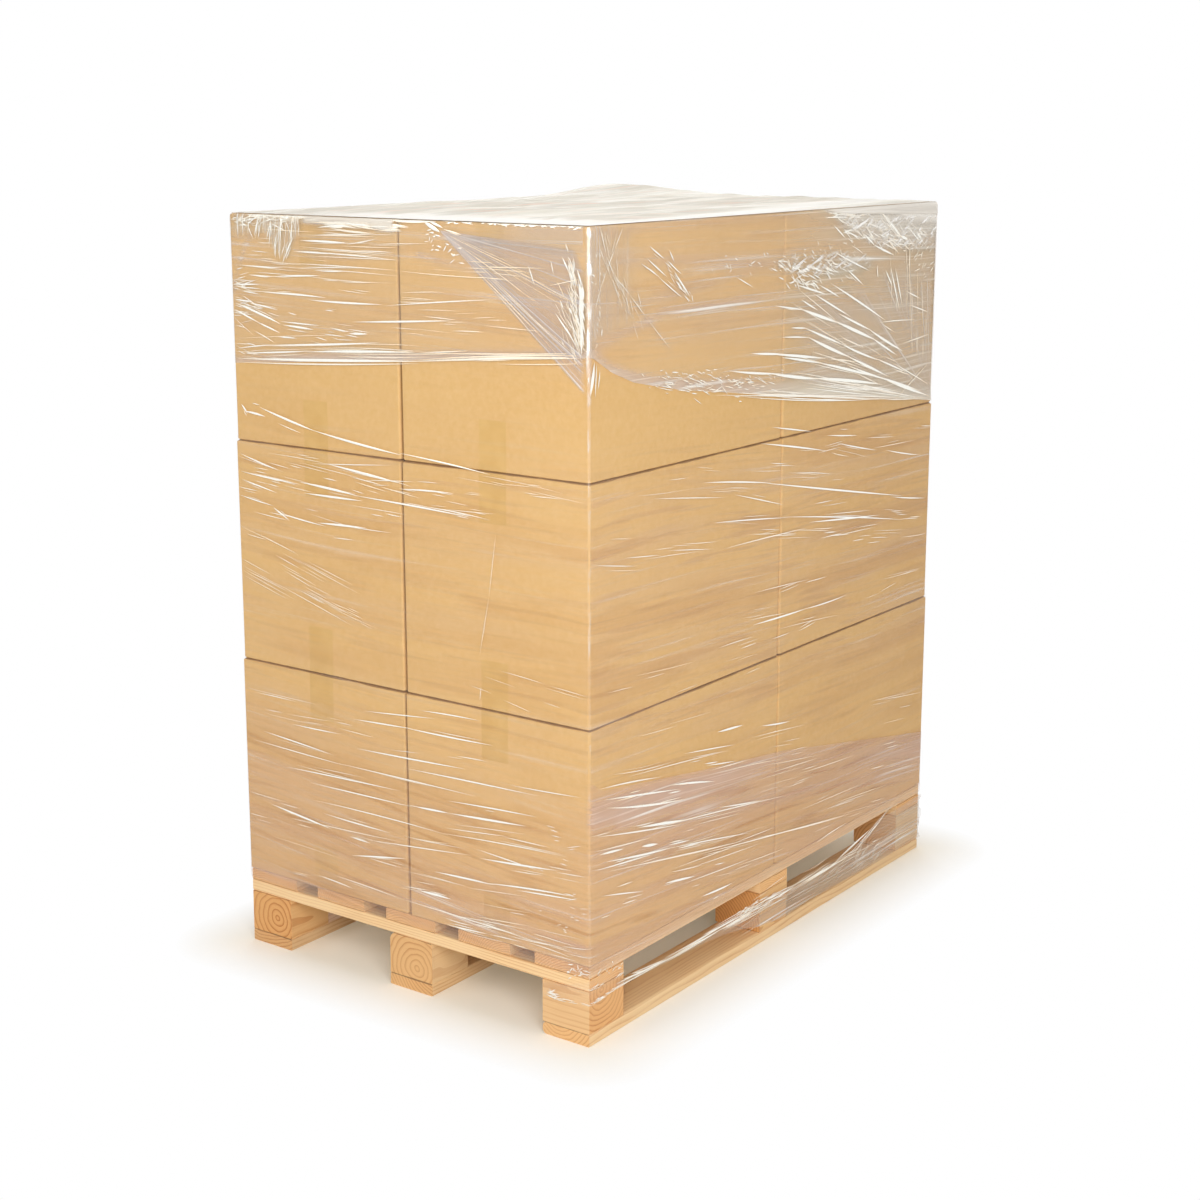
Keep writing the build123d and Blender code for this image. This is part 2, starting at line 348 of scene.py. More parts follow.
def dress_pallet():
    """Each board and block gets its own cut through a tree."""
    dress_boards("deck", range(1, 6), 1, (-30, 45, -20, 60, 25),
                 [DECK_UNDER - drop for drop in (30, 25, 50, 40, 60)], 1.0, 4.5, [BLEACHED] * 5)
    dress_boards("cross", ("near", "middle", "far"), 0, (25, -30, 40),
                 [DECK_UNDER - drop for drop in (110, 70, 90)], 11.0, 4.6, [PALE_SAWN] * 3)
    dress_boards("bottom", ("left", "centre", "right"), 1, (-15, 60, -14), (120, 70, 48), 21.0, 6.5,
                 (GREYED, PLAIN, BLEACHED))
    # Fibre axis, then where the pith lies across and above the block's middle, ring spacing, tone.
    blocks = {
        "near_left": (1, 12, -4, 11.0, ORANGE), "near_centre": (1, 12, -16, 10.5, PLAIN),
        "near_right": (0, -14, 34, 10.0, ROSY), "middle_left": (1, 30, -35, 5.5, PLAIN),
        "middle_centre": (1, -20, 10, 6.0, PLAIN), "middle_right": (1, -60, -40, 6.0, ORANGE),
        "far_left": (1, 12, 20, 5.0, PLAIN), "far_centre": (1, -25, -15, 6.0, ORANGE),
        "far_right": (1, 35, -50, 6.5, PLAIN),
    }
    for index, (place, (fibre, shift, rise, ring, tone)) in enumerate(blocks.items()):
        low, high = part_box(f"block_{place}")
        pith = (low + high) / 2 / MM + Vector((0, 0, rise))
        pith[1 - fibre] += shift
        dress(f"block_{place}", pine(f"pine_block_{place}", fibre, pith, 31.0 + index, ring, tone))


def dress_cartons():
    board = cardboard()
    tape = packing_tape()
    for layer in ("bottom", "middle", "top"):
        for place in ("near_left", "near_right", "far_left", "far_right"):
            dress(f"carton_{layer}_{place}", board)
            dress(f"tape_{layer}_{place}", tape)


def proud(height):
    """How far the film stands out at these heights: it bridges from each layer's upper edge."""
    heights = [DECK_UNDER, LOAD_BASE]
    outs = [AT_DECK, NARROW]
    for layer in range(LAYERS):
        top = LOAD_BASE + (layer + 1) * LAYER
        heights += [top - BRIDGE / 4, top + BRIDGE]
        outs += [WIDE, NARROW]
    heights[-1], outs[-1] = LOAD_TOP + 2, AT_TOP
    return np.interp(height, heights, outs)


def wrap_point(along, height, lift=0.0):
    """Points, in metres, on the film: distance round the load and height, raised by lift."""
    along, height, lift = np.broadcast_arrays(np.asarray(along, float), height, lift)
    along = np.mod(along, ROUND)
    out = proud(height) + lift
    starts = np.array([FACE_START[face] for face in FACES])
    face = np.searchsorted(starts, along, side="right") - 1
    width = np.where(face % 2 == 0, 2 * HALF_X, 2 * HALF_Y)
    here = along - starts[face]
    # The corner's arc takes the last stretch of one face and the first of the next.
    turn = np.zeros_like(here)
    turn = np.where(here < CORNER, -(CORNER - here) / (2 * CORNER), turn)
    turn = np.where(here > width - CORNER, (here - width + CORNER) / (2 * CORNER), turn)
    corner = np.interp(height, CORNER_HEIGHTS, (DECK_CORNER, CORNER))
    # Local frame of the face: along runs with its edge, out is its normal.
    flat = np.clip(here, CORNER, width - CORNER) - width / 2
    flat = flat + np.sign(flat) * (CORNER - corner) * (np.abs(flat) > width / 2 - CORNER - 1)
    radius = corner + out
    local_out = (np.where(face % 2 == 0, HALF_Y, HALF_X) - corner) + radius * np.cos(turn * math.pi / 2)
    local_along = flat + radius * np.sin(turn * math.pi / 2)
    spin = face * math.pi / 2
    x = local_along * np.cos(spin) + local_out * np.sin(spin)
    y = local_along * np.sin(spin) - local_out * np.cos(spin)
    return np.stack([x, y, height], axis=-1) * MM


def piece(name, points, faces, material, uvs=None, own=None):
    """A mesh piece that rides with the load, from arrays of points and faces.

    own gives each point its haze, its whiteness and, if it has a third value, its lilac cast.
    """
    mesh = bpy.data.meshes.new(name)
    mesh.from_pydata([tuple(p) for p in points], [], [tuple(f) for f in faces])
    if uvs is not None:
        layer = mesh.uv_layers.new(name="film_uv")
        corner = np.empty(len(mesh.loops), dtype=np.int32)
        mesh.loops.foreach_get("vertex_index", corner)
        layer.data.foreach_set("uv", np.asarray(uvs, float)[corner].ravel())
    if own is not None:
        layer = mesh.color_attributes.new("haze", "FLOAT_COLOR", "POINT")
        values = np.ones((len(points), 4))
        values[:, 2] = 0.0
        values[:, :own.shape[1]] = own
        layer.data.foreach_set("color", values.ravel())
    mesh.polygons.foreach_set("use_smooth", [True] * len(mesh.polygons))
    mesh.materials.append(material)
    mesh.update()
    obj = bpy.data.objects.new(name, mesh)
    bpy.context.scene.collection.objects.link(obj)
    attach(obj, "root")
    return obj


def grid_faces(rows, columns, closed=False):
    """Quads of a grid of points stored row by row; closed joins the last column to the first."""
    span = columns if closed else columns - 1
    row, column = np.meshgrid(np.arange(rows - 1), np.arange(span), indexing="ij")
    right = (column + 1) % columns
    quads = [row * columns + column, row * columns + right, (row + 1) * columns + right,
             (row + 1) * columns + column]
    return np.stack(quads, axis=-1).reshape(-1, 4)


def ripple(along, height, seed, slope, pitch, count=14):
    """Smooth wrinkles that run with the film's pull, from waves that close round the load."""
    random = np.random.default_rng(seed)
    total = np.zeros(np.broadcast(along, height).shape)
    for _ in range(count):
        waves = random.integers(1, 9)
        tall = 2 * math.pi / (pitch * random.uniform(0.6, 2.2))
        phase = random.uniform(0, 2 * math.pi)
        turn = 2 * math.pi * waves / ROUND
        total += np.sin(turn * along + tall * (height - slope * along % ROUND) + phase)
    return total / math.sqrt(count)


# The film's tints, and its refractive index.
LILAC = colour(234, 216, 202)
GREY_LILAC = colour(222, 205, 200)
UPPER_TINT = colour(240, 228, 204)
DOUBLE_LILAC = colour(218, 204, 212)
ROSE_FILM = colour(238, 206, 190)
OCHRE = colour(204, 148, 94)
PALE_FILM = colour(255, 252, 246)
FILM_IOR = 1.5
# How far each step of a film's seed moves its pattern.
SEED_SHIFT = (7.3, 4.1, 0.0)


def pulled_place(s, slope, seed):
    """Where a point lies on the film, along it and up, turned so that lines follow its pull."""
    parts = s.parts(s.add("ShaderNodeUVMap", uv_map="film_uv").outputs[0])
    rise = s.math("SUBTRACT", parts[1], s.math("MULTIPLY", parts[0], slope))
    return s.vector("ADD", s.join(parts[0], rise), tuple(seed * part for part in SEED_SHIFT))


def own_values(s):
    """A piece's own haze, whiteness and lilac cast at each point."""
    haze = s.add("ShaderNodeVertexColor", layer_name="haze").outputs[0]
    return s.add("ShaderNodeSeparateColor", {0: haze}).outputs


def own_cover(s, own, cover):
    """How much the film hides: a piece's own haze scales it, and its whiteness is added."""
    return s.math("ADD", s.math("MULTIPLY", cover, own[0]), own[1], clamp=True)


def film(name, slope, seed, even, band, line, grain=0.0, tint=LILAC, gloss=0.15, fine=1.0, wet=0.0):
    """Clear film: see-through, with cloudy bands and thin white lines, partly painted highlight, along the
    pull.

    even is how much it hides everywhere, band and line how much its bands and lines add, grain the
    thin darker lines, wet the patches where it clings to the board and darkens it, slope the lines'
    rise along the load and fine how close they lie. A piece's own haze scales it all, and its
    whiteness is added.
    """
    s = Shader(name)
    place = pulled_place(s, slope, seed)
    bend = s.spread(s.flat_noise(place, 1.4, 3.0, 1.0), 0.0, 1.0, -0.018, 0.018)
    place = s.vector("ADD", place, s.join(y=bend))
    clouds = s.flat_noise(place, 1.1, 16.0 * fine, 3.0, 0.6)
    strands = s.flat_noise(place, 1.8, 110.0 * fine, 2.0, 0.55)
    hair = s.flat_noise(place, 2.4, 340.0 * fine)
    bands = s.spread(clouds, 0.42, 0.7)
    lines = s.math("MULTIPLY", s.spread(strands, 0.56, 0.74), s.spread(clouds, 0.4, 0.6, 0.15, 1.0))
    bright = s.math("MAXIMUM", lines, s.spread(hair, 0.64, 0.8, 0.0, 0.4))
    cover = s.math("MULTIPLY_ADD", bands, band, even)
    cover = s.math("MULTIPLY_ADD", bright, line, cover)
    # The white lines are partly painted highlight.
    tone = s.mix(bright, tint, PALE_FILM)
    if grain:
        shade = s.flat_noise(place, 4.0, 75.0 * fine)
        dark = s.math("MULTIPLY", s.spread(shade, 0.56, 0.72), s.spread(clouds, 0.42, 0.6, 1.0, 0.3))
        cover = s.math("MULTIPLY_ADD", dark, grain, cover)
        tone = s.mix(s.math("MULTIPLY", dark, min(1.0, grain * 5)), tone, OCHRE)
    if wet:
        cling = s.spread(s.flat_noise(place, 0.8, 15.0, 6.0, 0.7, 0.4), 0.5, 0.56)
        cover = s.math("MULTIPLY_ADD", cling, wet, cover)
        tone = s.mix(s.math("MULTIPLY", cling, 0.6), tone, OCHRE)
    own = own_values(s)
    cover = own_cover(s, own, cover)
    tone = s.mix(s.math("MULTIPLY", own[2], s.math("SUBTRACT", 1.0, bright)), tone, DOUBLE_LILAC)
    # A piece's own whiteness, partly painted highlight and reflection.
    tone = s.mix(s.math("MULTIPLY", own[1], 1.4, clamp=True), tone, PALE_FILM)
    relief = s.bump(strands, 0.25, 0.6 * MM)
    return s.finish(Base_Color=tone, Roughness=gloss, Alpha=cover, Normal=relief, IOR=FILM_IOR)


def crumpled_film(name, slope, seed, even, patches, crease, tint=LILAC):
    """Film crushed into small facets: sharp white creases and white facets, partly painted glints."""
    s = Shader(name)
    place = pulled_place(s, slope, seed)
    long = s.flat_noise(place, 9.0, 95.0, 2.0, 0.5)
    short = s.flat_noise(place, 38.0, 170.0, 1.0)
    facets = s.flat_noise(place, 24.0, 60.0, 2.0, 0.6)
    small = s.math("MULTIPLY", s.spread(short, 0.6, 0.7), s.spread(facets, 0.42, 0.55))
    bright = s.math("MAXIMUM", s.spread(long, 0.6, 0.68), small)
    white = s.spread(facets, 0.52, 0.66)
    cover = s.math("MULTIPLY_ADD", white, patches, even)
    cover = own_cover(s, own_values(s), s.math("MULTIPLY_ADD", bright, crease, cover))
    # The white tone is partly painted glints and partly crushed film.
    tone = s.mix(s.math("MAXIMUM", bright, s.math("MULTIPLY", white, 0.7)), tint, PALE_FILM)
    relief = s.bump(long, 0.35, 1.2 * MM)
    return s.finish(Base_Color=tone, Metallic=0.6, Roughness=0.25, Alpha=cover, Normal=relief)


SEEN_THROUGH = colour(246, 220, 180)
# GLINT is a painted highlight: the white of a fold that mirrors the lamps, partly the fold's own whiteness.
GLINT = colour(255, 254, 246)


def pleat_material():
    """A tight fold of film, which mirrors the light: white, partly a painted highlight, and clear where it
    flattens out.
    """
    s = Shader("film_pleat")
    fleck = s.noise(s.place(), 500.0, 1.0)[0]
    share = s.math("MULTIPLY", own_values(s)[0], s.spread(fleck, 0.3, 0.55, 1.0, 1.3), clamp=True)
    tone = s.mix(share, SEEN_THROUGH, GLINT)
    return s.finish(Base_Color=tone, Metallic=0.8, Roughness=0.2, Normal=s.bump(fleck, 0.1, 0.2 * MM))


def soft(value, start, stop):
    """Rises smoothly from 0 at start to 1 at stop."""
    share = np.clip((np.asarray(value, float) - start) / (stop - start), 0, 1)
    return share * share * (3 - 2 * share)


# How far from an upright edge the film's wrinkles reach their full height.
CORNER_REACH = 60
# The windings' grid and wrinkles, and how far they lie out from the film's base.
WINDING_STEP = 9.0
WINDING_RIPPLE = 60
WRAP_LIFT = 0.9
WINDING_LIFT = 1.5


def columns_round(step):
    """Places round the load, close together at the four corners."""
    places = []
    for face in FACES:
        start = FACE_START[face]
        width = FACE_WIDTH[face]
        flat = np.linspace(CORNER, width - CORNER, int((width - 2 * CORNER) / step) + 1)
        arc = np.linspace(width - CORNER, width + CORNER, 6)[1:-1]
        places.append(start + np.concatenate([flat, arc]))
    return np.sort(np.mod(np.concatenate(places), ROUND))


def corner_fade(along):
    """0 at the four upright edges, where the film is pulled tight, and 1 between them."""
    gaps = [np.abs(np.mod(along - start + ROUND / 2, ROUND) - ROUND / 2) for start in FACE_START.values()]
    return np.clip(np.minimum.reduce(gaps) / CORNER_REACH, 0, 1)


def edge_line(points):
    """An edge of the film round the load: straight between these places and heights, and closed."""
    places, heights = zip(*points)
    return lambda along: np.interp(along, [*places, ROUND], [*heights, heights[0]])


def level_line(height):
    return lambda along: np.full_like(along, height, dtype=float)


def sheet(name, along, height, rise, uvs, own, material, closed=False):
    """A piece from a grid of places round the load, heights and distances out from the film."""
    points = wrap_point(along, height, rise).reshape(-1, 3)
    rows, columns = along.shape
    uvs = np.stack(uvs, axis=-1).reshape(-1, 2)
    own = np.stack([np.broadcast_to(part, height.shape) for part in own], axis=-1).reshape(-1, len(own))
    return piece(name, points, grid_faces(rows, columns, closed), material, uvs, own)


def wrap_sheet(name, low, high, lift, material, seed, slope, relief, haze, rows=60):
    """A winding of film round the load, between two edges that are heights at each place round it.

    haze gives, at a place and height, how much of the film's bands and lines shows, how much
    white, partly painted highlight, is added to them, and how strong the film's lilac cast is.
    """
    along, share = np.meshgrid(columns_round(WINDING_STEP), np.linspace(0, 1, rows))
    height = low(along) + (high(along) - low(along)) * share
    wrinkle = ripple(along, height, seed, slope, WINDING_RIPPLE)
    rise = lift + relief * corner_fade(along) * (0.5 + 0.5 * np.clip(wrinkle, -1, 1))
    return sheet(name, along, height, rise, (along * MM, height * MM), haze(along, height), material, True)


# The winding edges that show, as places round the load and heights.
NEAR, RIGHT, FAR, LEFT = (FACE_START[face] for face in FACES)
UPPER_EDGE = edge_line([
    (NEAR, 1117), (390, 1147), (620, 1167), (746, 1177), (RIGHT, 1181), (RIGHT + 55, 1151),
    (RIGHT + 119, 1128), (RIGHT + 263, 1100), (RIGHT + 603, 1055), (RIGHT + 911, 1017), (FAR, 979),
    (LEFT, 1040),
])
LOWER_EDGE = edge_line([
    (NEAR, 545), (RIGHT, 470), (RIGHT + 28, 450), (RIGHT + 333, 405), (RIGHT + 610, 370), (FAR, 262),
    (LEFT, 380),
])


def on_face(face, along):
    """1 on one face of the load, 0 off it, with a few millimetres of blending."""
    here = np.mod(along - FACE_START[face] + 20, ROUND) - 20
    return soft(here, -6, 6) * (1 - soft(here, FACE_WIDTH[face] - 6, FACE_WIDTH[face] + 6))


def wrap_haze(along, height):
    """The windings that lie everywhere: nearly clear above, cloudy in the middle, dense below."""
    clear = soft(height, 960, 1040) * (1 - soft(height, 1120, 1200))
    middle = on_face("right", along) * soft(height, 420, 540) * (1 - soft(height, 930, 985))
    return 0.9 - 0.75 * clear + 0.7 * middle, 0.04 * (1 - soft(height, 136, 146)), 0.0


# Soft bands where the film lies double: face, path of places and heights, width, and strength.
UPPER_BANDS = [
    ("right", [(0, 1187), (55, 1158), (119, 1138), (176, 1125), (263, 1111), (387, 1094)], 22, 1.1),
    ("right", [(387, 1094), (640, 1062), (911, 1026), (1192, 986)], 34, 1.2),
    ("right", [(0, 1189), (45, 1205), (107, 1217), (207, 1239), (386, 1237), (638, 1245), (866, 1275)],
     22, 1.0),
    ("right", [(137, 1258), (323, 1274), (515, 1297), (620, 1305)], 20, 0.6),
    ("right", [(77, 1332), (238, 1323), (428, 1310), (640, 1300)], 24, 0.9),
    ("right", [(107, 1383), (605, 1385), (900, 1386)], 20, 0.8),
    ("right", [(19, 1386), (37, 1341), (59, 1307), (104, 1274), (153, 1232), (223, 1175)], 16, 0.5),
    ("near", [(502, 1371), (567, 1318), (639, 1266), (692, 1218), (745, 1177), (793, 1136)], 12, 0.8),
    ("near", [(449, 1331), (494, 1322), (581, 1306), (639, 1295), (692, 1288)], 12, 1.0),
    ("near", [(160, 1326), (300, 1320), (449, 1330), (620, 1322)], 10, 0.5),
    ("near", [(51, 1354), (30, 1316), (14, 1285), (3, 1250)], 10, 0.9),
    ("near", [(0, 1124), (385, 1154), (620, 1174), (800, 1188)], 16, 1.0),
    ("far", [(4, 985), (796, 1046)], 26, 1.2), ("left", [(4, 1046), (1196, 1123)], 26, 1.2),
    ("far", [(10, 1250), (400, 1290), (790, 1300)], 34, 0.9),
    ("left", [(10, 1250), (600, 1290), (1190, 1300)], 34, 0.9),
]
LOWER_BANDS = [
    ("near", [(189, 179), (328, 172), (461, 168), (600, 164)], 14, 0.9),
    ("near", [(420, 200), (560, 196), (790, 178)], 14, 0.8),
    ("near", [(10, 150), (311, 140), (790, 134)], 10, 0.8),
    ("right", [(10, 425), (260, 390), (560, 346), (880, 296), (1190, 240)], 56, 0.9),
    ("right", [(80, 372), (400, 318), (800, 250), (1180, 176)], 34, 0.6),
    ("right", [(8, 136), (700, 132), (1190, 130)], 10, 0.7),
    ("far", [(8, 136), (790, 134)], 10, 1.2), ("left", [(8, 136), (1190, 134)], 10, 1.2),
    ("far", [(10, 300), (790, 420)], 34, 0.8), ("left", [(10, 300), (1190, 420)], 34, 0.8),
]


def doubled(bands, along, height):
    """How much film lies double at each place."""
    total = np.zeros_like(height)
    for face, path, width, strength in bands:
        here = along - FACE_START[face]
        gap = np.full_like(height, ROUND)
        for (start_u, start_z), (end_u, end_z) in zip(path[:-1], path[1:]):
            run_u, run_z = end_u - start_u, end_z - start_z
            share = ((here - start_u) * run_u + (height - start_z) * run_z) / (run_u ** 2 + run_z ** 2)
            share = np.clip(share, 0, 1)
            gap = np.minimum(gap, np.hypot(here - start_u - share * run_u, height - start_z - share * run_z))
        total += strength * np.exp(-(2 * gap / width) ** 2) * on_face(face, along)
    return total


def upper_haze(along, height):
    """The upper windings: thickened at their lower edge, and dense towards the far right corner."""
    above = height - UPPER_EDGE(along)
    right = on_face("right", along)
    here = along - RIGHT
    hem = (1 - soft(above, 8, 26)) * 0.6
    far = right * soft(here, 520, 760) * 1.2
    roped = right * soft(here, 380, 700)
    corner = right * soft(here, 700, 1100) * soft(height, 1270, 1370)
    # The whiteness on the roped hem and the far right corner is partly painted highlight.
    white = (1 - soft(above, 2, 9)) * 0.1 + roped * (1 - soft(above, 12, 60)) * 0.1 + corner * 0.3
    white = white + right * soft(here, 520, 900) * 0.07
    band = doubled(UPPER_BANDS, along, height)
    return 0.75 + hem + far + band, white, 0.5 * np.clip(band + 0.5 * hem, 0, 1) * (1 - roped)


def lower_haze(along, height):
    """The lower windings: densest on the right side, and fading out at their upper edge."""
    under = LOWER_EDGE(along) - height
    right = on_face("right", along)
    amount = right * (0.5 + 0.5 * soft(under, 0, 60)) + (1 - right) * (0.1 + 0.9 * soft(under, 0, 240))
    amount += right * 0.35 * (1 - soft(under, 60, 260))
    band = doubled(LOWER_BANDS, along, height)
    over_deck = 0.5 + 0.5 * soft(height, 138, 150)
    return (amount + band) * over_deck, 0.0, 0.15 * np.clip(band, 0, 1) * soft(height, 144, 160)


def make_windings():
    base = film("film_clear", -0.03, 1.0, even=0.03, band=0.08, line=0.14, grain=0.11, wet=0.055)
    upper = film("film_upper", -0.02, 2.0, even=0.13, band=0.09, line=0.3, tint=UPPER_TINT)
    lower = film("film_lower", -0.09, 3.0, even=0.13, band=0.14, line=0.24, grain=0.18, tint=ROSE_FILM)
    top = level_line(FILM_RIM)
    wrap = wrap_sheet("film_wrap_sheet", level_line(FILM_FOOT), top, WRAP_LIFT, base, 5, -0.02, 0.5,
                      wrap_haze, 90)
    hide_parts("film_wrap")
    wrap_sheet("film_upper_winding", UPPER_EDGE, top, WINDING_LIFT, upper, 6, -0.03, 0.6, upper_haze)
    wrap_sheet("film_lower_winding", level_line(FILM_FOOT + 2), LOWER_EDGE, WINDING_LIFT, lower, 7, -0.1, 0.6,
               lower_haze)


CRUSHED_TINT = colour(246, 238, 228)


def patch(name, face, low, high, lift, material, seed, relief=0.8, fade=(12, 12, 6, 6), white=0.0,
          upright=False, step=7.0):
    """A stretch of film on one face between two edges, each a list of places and heights on it.

    high may be one height. fade is how far it fades in from its left, right, lower and upper edge,
    and upright turns its lines and wrinkles to run up and down.
    """
    if np.isscalar(high):
        high = [(low[0][0], high), (low[-1][0], high)]
    start = max(low[0][0], high[0][0])
    stop = min(low[-1][0], high[-1][0])
    columns = int((stop - start) / step) + 3
    across, share = np.meshgrid(np.linspace(start, stop, columns), np.linspace(0, 1, 26))
    under = np.interp(across, *np.array(low, float).T)
    over = np.interp(across, *np.array(high, float).T)
    height = under + (over - under) * share
    along = FACE_START[face] + across
    wrinkle = ripple(along, height, seed, 0.0, 34)
    if upright:
        wrinkle = ripple(height, across, seed, 0.0, 22)
    rise = lift + relief * (0.5 + 0.5 * np.clip(wrinkle, -1, 1))
    uvs = (height * MM, along * MM) if upright else (along * MM, height * MM)
    gaps = (across - start, stop - across, height - under, over - height)
    shown = np.ones_like(height)
    for gap, width in zip(gaps, fade):
        if width:
            shown = shown * soft(gap, 0, width)
    return sheet(name, along, height, rise, uvs, (shown, white * shown), material)


def fan_patch(name, face, apex, rim, lift, material, relief, spread, edge=0.0, white=0.0, last=0.7):
    """Film gathered to one point of a face: its lines run from it to the rim, a list of places.

    edge thickens its two sides, white whitens it by the point, and past last it fades out.
    """
    base = np.array([FACE_START[face], 0])
    apex = base + apex
    rim = base + rim
    steps = np.concatenate([[0], np.cumsum(np.hypot(*np.diff(rim, axis=0).T))])
    count = int(steps[-1] / 7) + 4
    t = np.linspace(0, steps[-1], count)
    end = np.stack([np.interp(t, steps, rim[:, 0]), np.interp(t, steps, rim[:, 1])], axis=-1)
    share = np.linspace(0.01, 1, 60)[:, None]
    along = apex[0] + (end[:, 0] - apex[0]) * share
    height = apex[1] + (end[:, 1] - apex[1]) * share
    reach = np.hypot(along - apex[0], height - apex[1])
    turn = np.broadcast_to(t / steps[-1], reach.shape)
    folds = np.sin(turn * spread * 90 + 2 * np.sin(turn * 9)) * relief * np.clip(reach / 150, 0, 1)
    side = np.minimum(turn, 1 - turn)
    border = 1 - soft(side, 0.0, 0.05)
    shown = (1 + edge * border) * soft(side, -0.01, 0.02) * (1 - soft(share, last, 1.0))
    whitened = white * (1 - soft(reach, 20, 200)) + np.zeros_like(reach)
    return sheet(name, along, height, lift + folds, (reach * MM, turn * spread), (shown, whitened), material)


def make_fans():
    """Film gathered at the near right corner, and to the far right corner under the crumples."""
    gusset = film("film_gusset", 0.0, 6.0, even=0.2, band=0.2, line=0.5, tint=colour(216, 208, 214), fine=1.2)
    fan_patch("film_corner_gusset", "near", (496, 1374),
              [(797, 1118), (797, 1180), (797, 1250), (797, 1320), (780, 1352)], 2.3, gusset, relief=0.3,
              spread=0.3, edge=0.3, white=0.2, last=0.97)
    side = film("film_gusset_side", 0.0, 16.0, even=0.12, band=0.16, line=0.55, tint=colour(236, 224, 214))
    patch("film_gusset_side", "right", [(0, 1190), (45, 1205), (107, 1217), (153, 1230)], LOAD_TOP, 2.3, side,
          12, fade=(0, 130, 24, 0), white=0.05, upright=True)
    patch("film_gusset_top", "near", [(560, 1352), (794, 1340)], LOAD_TOP, 2.0, side, 14, relief=0.5,
          fade=(160, 0, 16, 0))
    far = film("film_far_fan", 0.0, 8.0, even=0.12, band=0.2, line=0.5, tint=colour(246, 234, 222))
    fan_patch("film_far_fan", "right", (1194, 985),
              [(600, 1072), (598, 1160), (606, 1262), (713, 1272), (816, 1275), (923, 1285), (1050, 1300),
               (1186, 1300)], 2.4, far, relief=0.5, spread=0.6, white=0.05)
    back = film("film_back_fan", 0.0, 9.0, even=0.25, band=0.15, line=0.4, tint=GREY_LILAC)
    for name, face, apex, rim in (
        ("film_left_fan", "left", (1194, 1124), [(780, 1300), (900, 1388), (1192, 1388)]),
        ("film_back_corner_fan", "far", (796, 1046), [(460, 1250), (540, 1388), (792, 1388)]),
    ):
        fan_patch(name, face, apex, rim, 2.3, back, relief=0.5, spread=0.4, edge=0.6)


def make_crumples():
    """Loose film over the top edge: a hanging flap, white rims and crushed stretches, partly painted
    highlight.
    """
    flap = film("film_flap", 0.0, 11.0, even=0.1, band=0.25, line=0.6, tint=colour(250, 242, 226), fine=1.4)
    patch("film_flap", "near", [(0, 1334), (27, 1340), (81, 1346), (99, 1339), (110, 1316), (131, 1306),
                                (146, 1311), (157, 1327), (169, 1349), (186, 1366)], LOAD_TOP, 2.4, flap, 31,
          relief=1.5, fade=(6, 20, 26, 0), upright=True, step=4.0)
    rim = film("film_rim", 0.0, 12.0, even=0.55, band=0.3, line=0.4, tint=colour(246, 236, 222), fine=1.5)
    patch("film_rim_near", "near", [(176, 1372), (247, 1370), (330, 1374), (360, 1364), (396, 1362)],
          LOAD_TOP, 2.4, rim, 33, fade=(14, 4, 12, 0), white=0.1)
    # The right rim's white is partly painted highlight.
    patch("film_rim_right", "right", [(720, 1384), (888, 1374), (1196, 1362)], LOAD_TOP, 3.2, rim, 34,
          relief=1.0, fade=(60, 0, 5, 0), white=0.25)
    crushed = crumpled_film("film_crumpled", 0.35, 1.0, even=0.08, patches=0.3, crease=0.7, tint=CRUSHED_TINT)
    patch("film_crumple_corner", "right", [(762, 1366), (804, 1340), (950, 1299), (1121, 1290), (1194, 1290)],
          [(762, 1378), (888, LOAD_TOP), (1194, LOAD_TOP)], 2.6, crushed, 35, relief=1.6,
          fade=(60, 0, 30, 0), white=0.2)
    # A patch of painted highlight at the far right corner, partly crushed film.
    patch("film_crumple_white", "right", [(960, 1352), (1080, 1340), (1194, 1330)], LOAD_TOP, 3.0, rim, 39,
          fade=(120, 0, 30, 0), white=0.5)
    patch("film_crumple_belt", "right", [(560, 1284), (613, 1276), (713, 1263), (816, 1261), (930, 1267)],
          [(560, 1307), (613, 1314), (784, 1314), (889, 1310), (930, 1284)], 2.6, crushed, 36, relief=1.2,
          fade=(30, 30, 12, 12))
    for face in ("left", "far"):
        low = [(10, 1300), (200, 1310), (FACE_WIDTH[face] - 60, 1366)]
        patch(f"film_crumple_{face}", face, low, LOAD_TOP, 2.6, crushed, 38, relief=1.5, fade=(0, 80, 12, 0))


# Film drawn tight over the upright edges, painted with a highlight: heights, half widths and strength at
# each.
EDGE_LIFT = 2.9
EDGE_HEIGHTS = [124, 470, 980, 1120, 1150, 1190, 1348, 1388]
EDGES = {
    "near_right": (RIGHT, [1.4, 1.4, 1.6, 2.4, 3, 3.5, 3.5, 3],
                   [0.3, 0.35, 0.45, 0.6, 0.75, 0.85, 0.85, 0.8]),
    "far_right": (FAR - 2, [1.6, 1.6, 2, 4, 5, 5, 6, 12], [0.2, 0.2, 0.8, 0.9, 1.0, 1.0, 1.0, 1.0]),
    "far_left": (LEFT, [2, 2, 2.5, 5, 5, 5, 6, 8], [0.2, 0.25, 0.5, 0.8, 0.8, 0.8, 0.9, 0.9]),
    "near_left": (ROUND, [1.5, 1.5, 1.5, 2, 2, 2, 3, 4], [0.15, 0.15, 0.2, 0.3, 0.3, 0.3, 0.6, 0.8]),
}


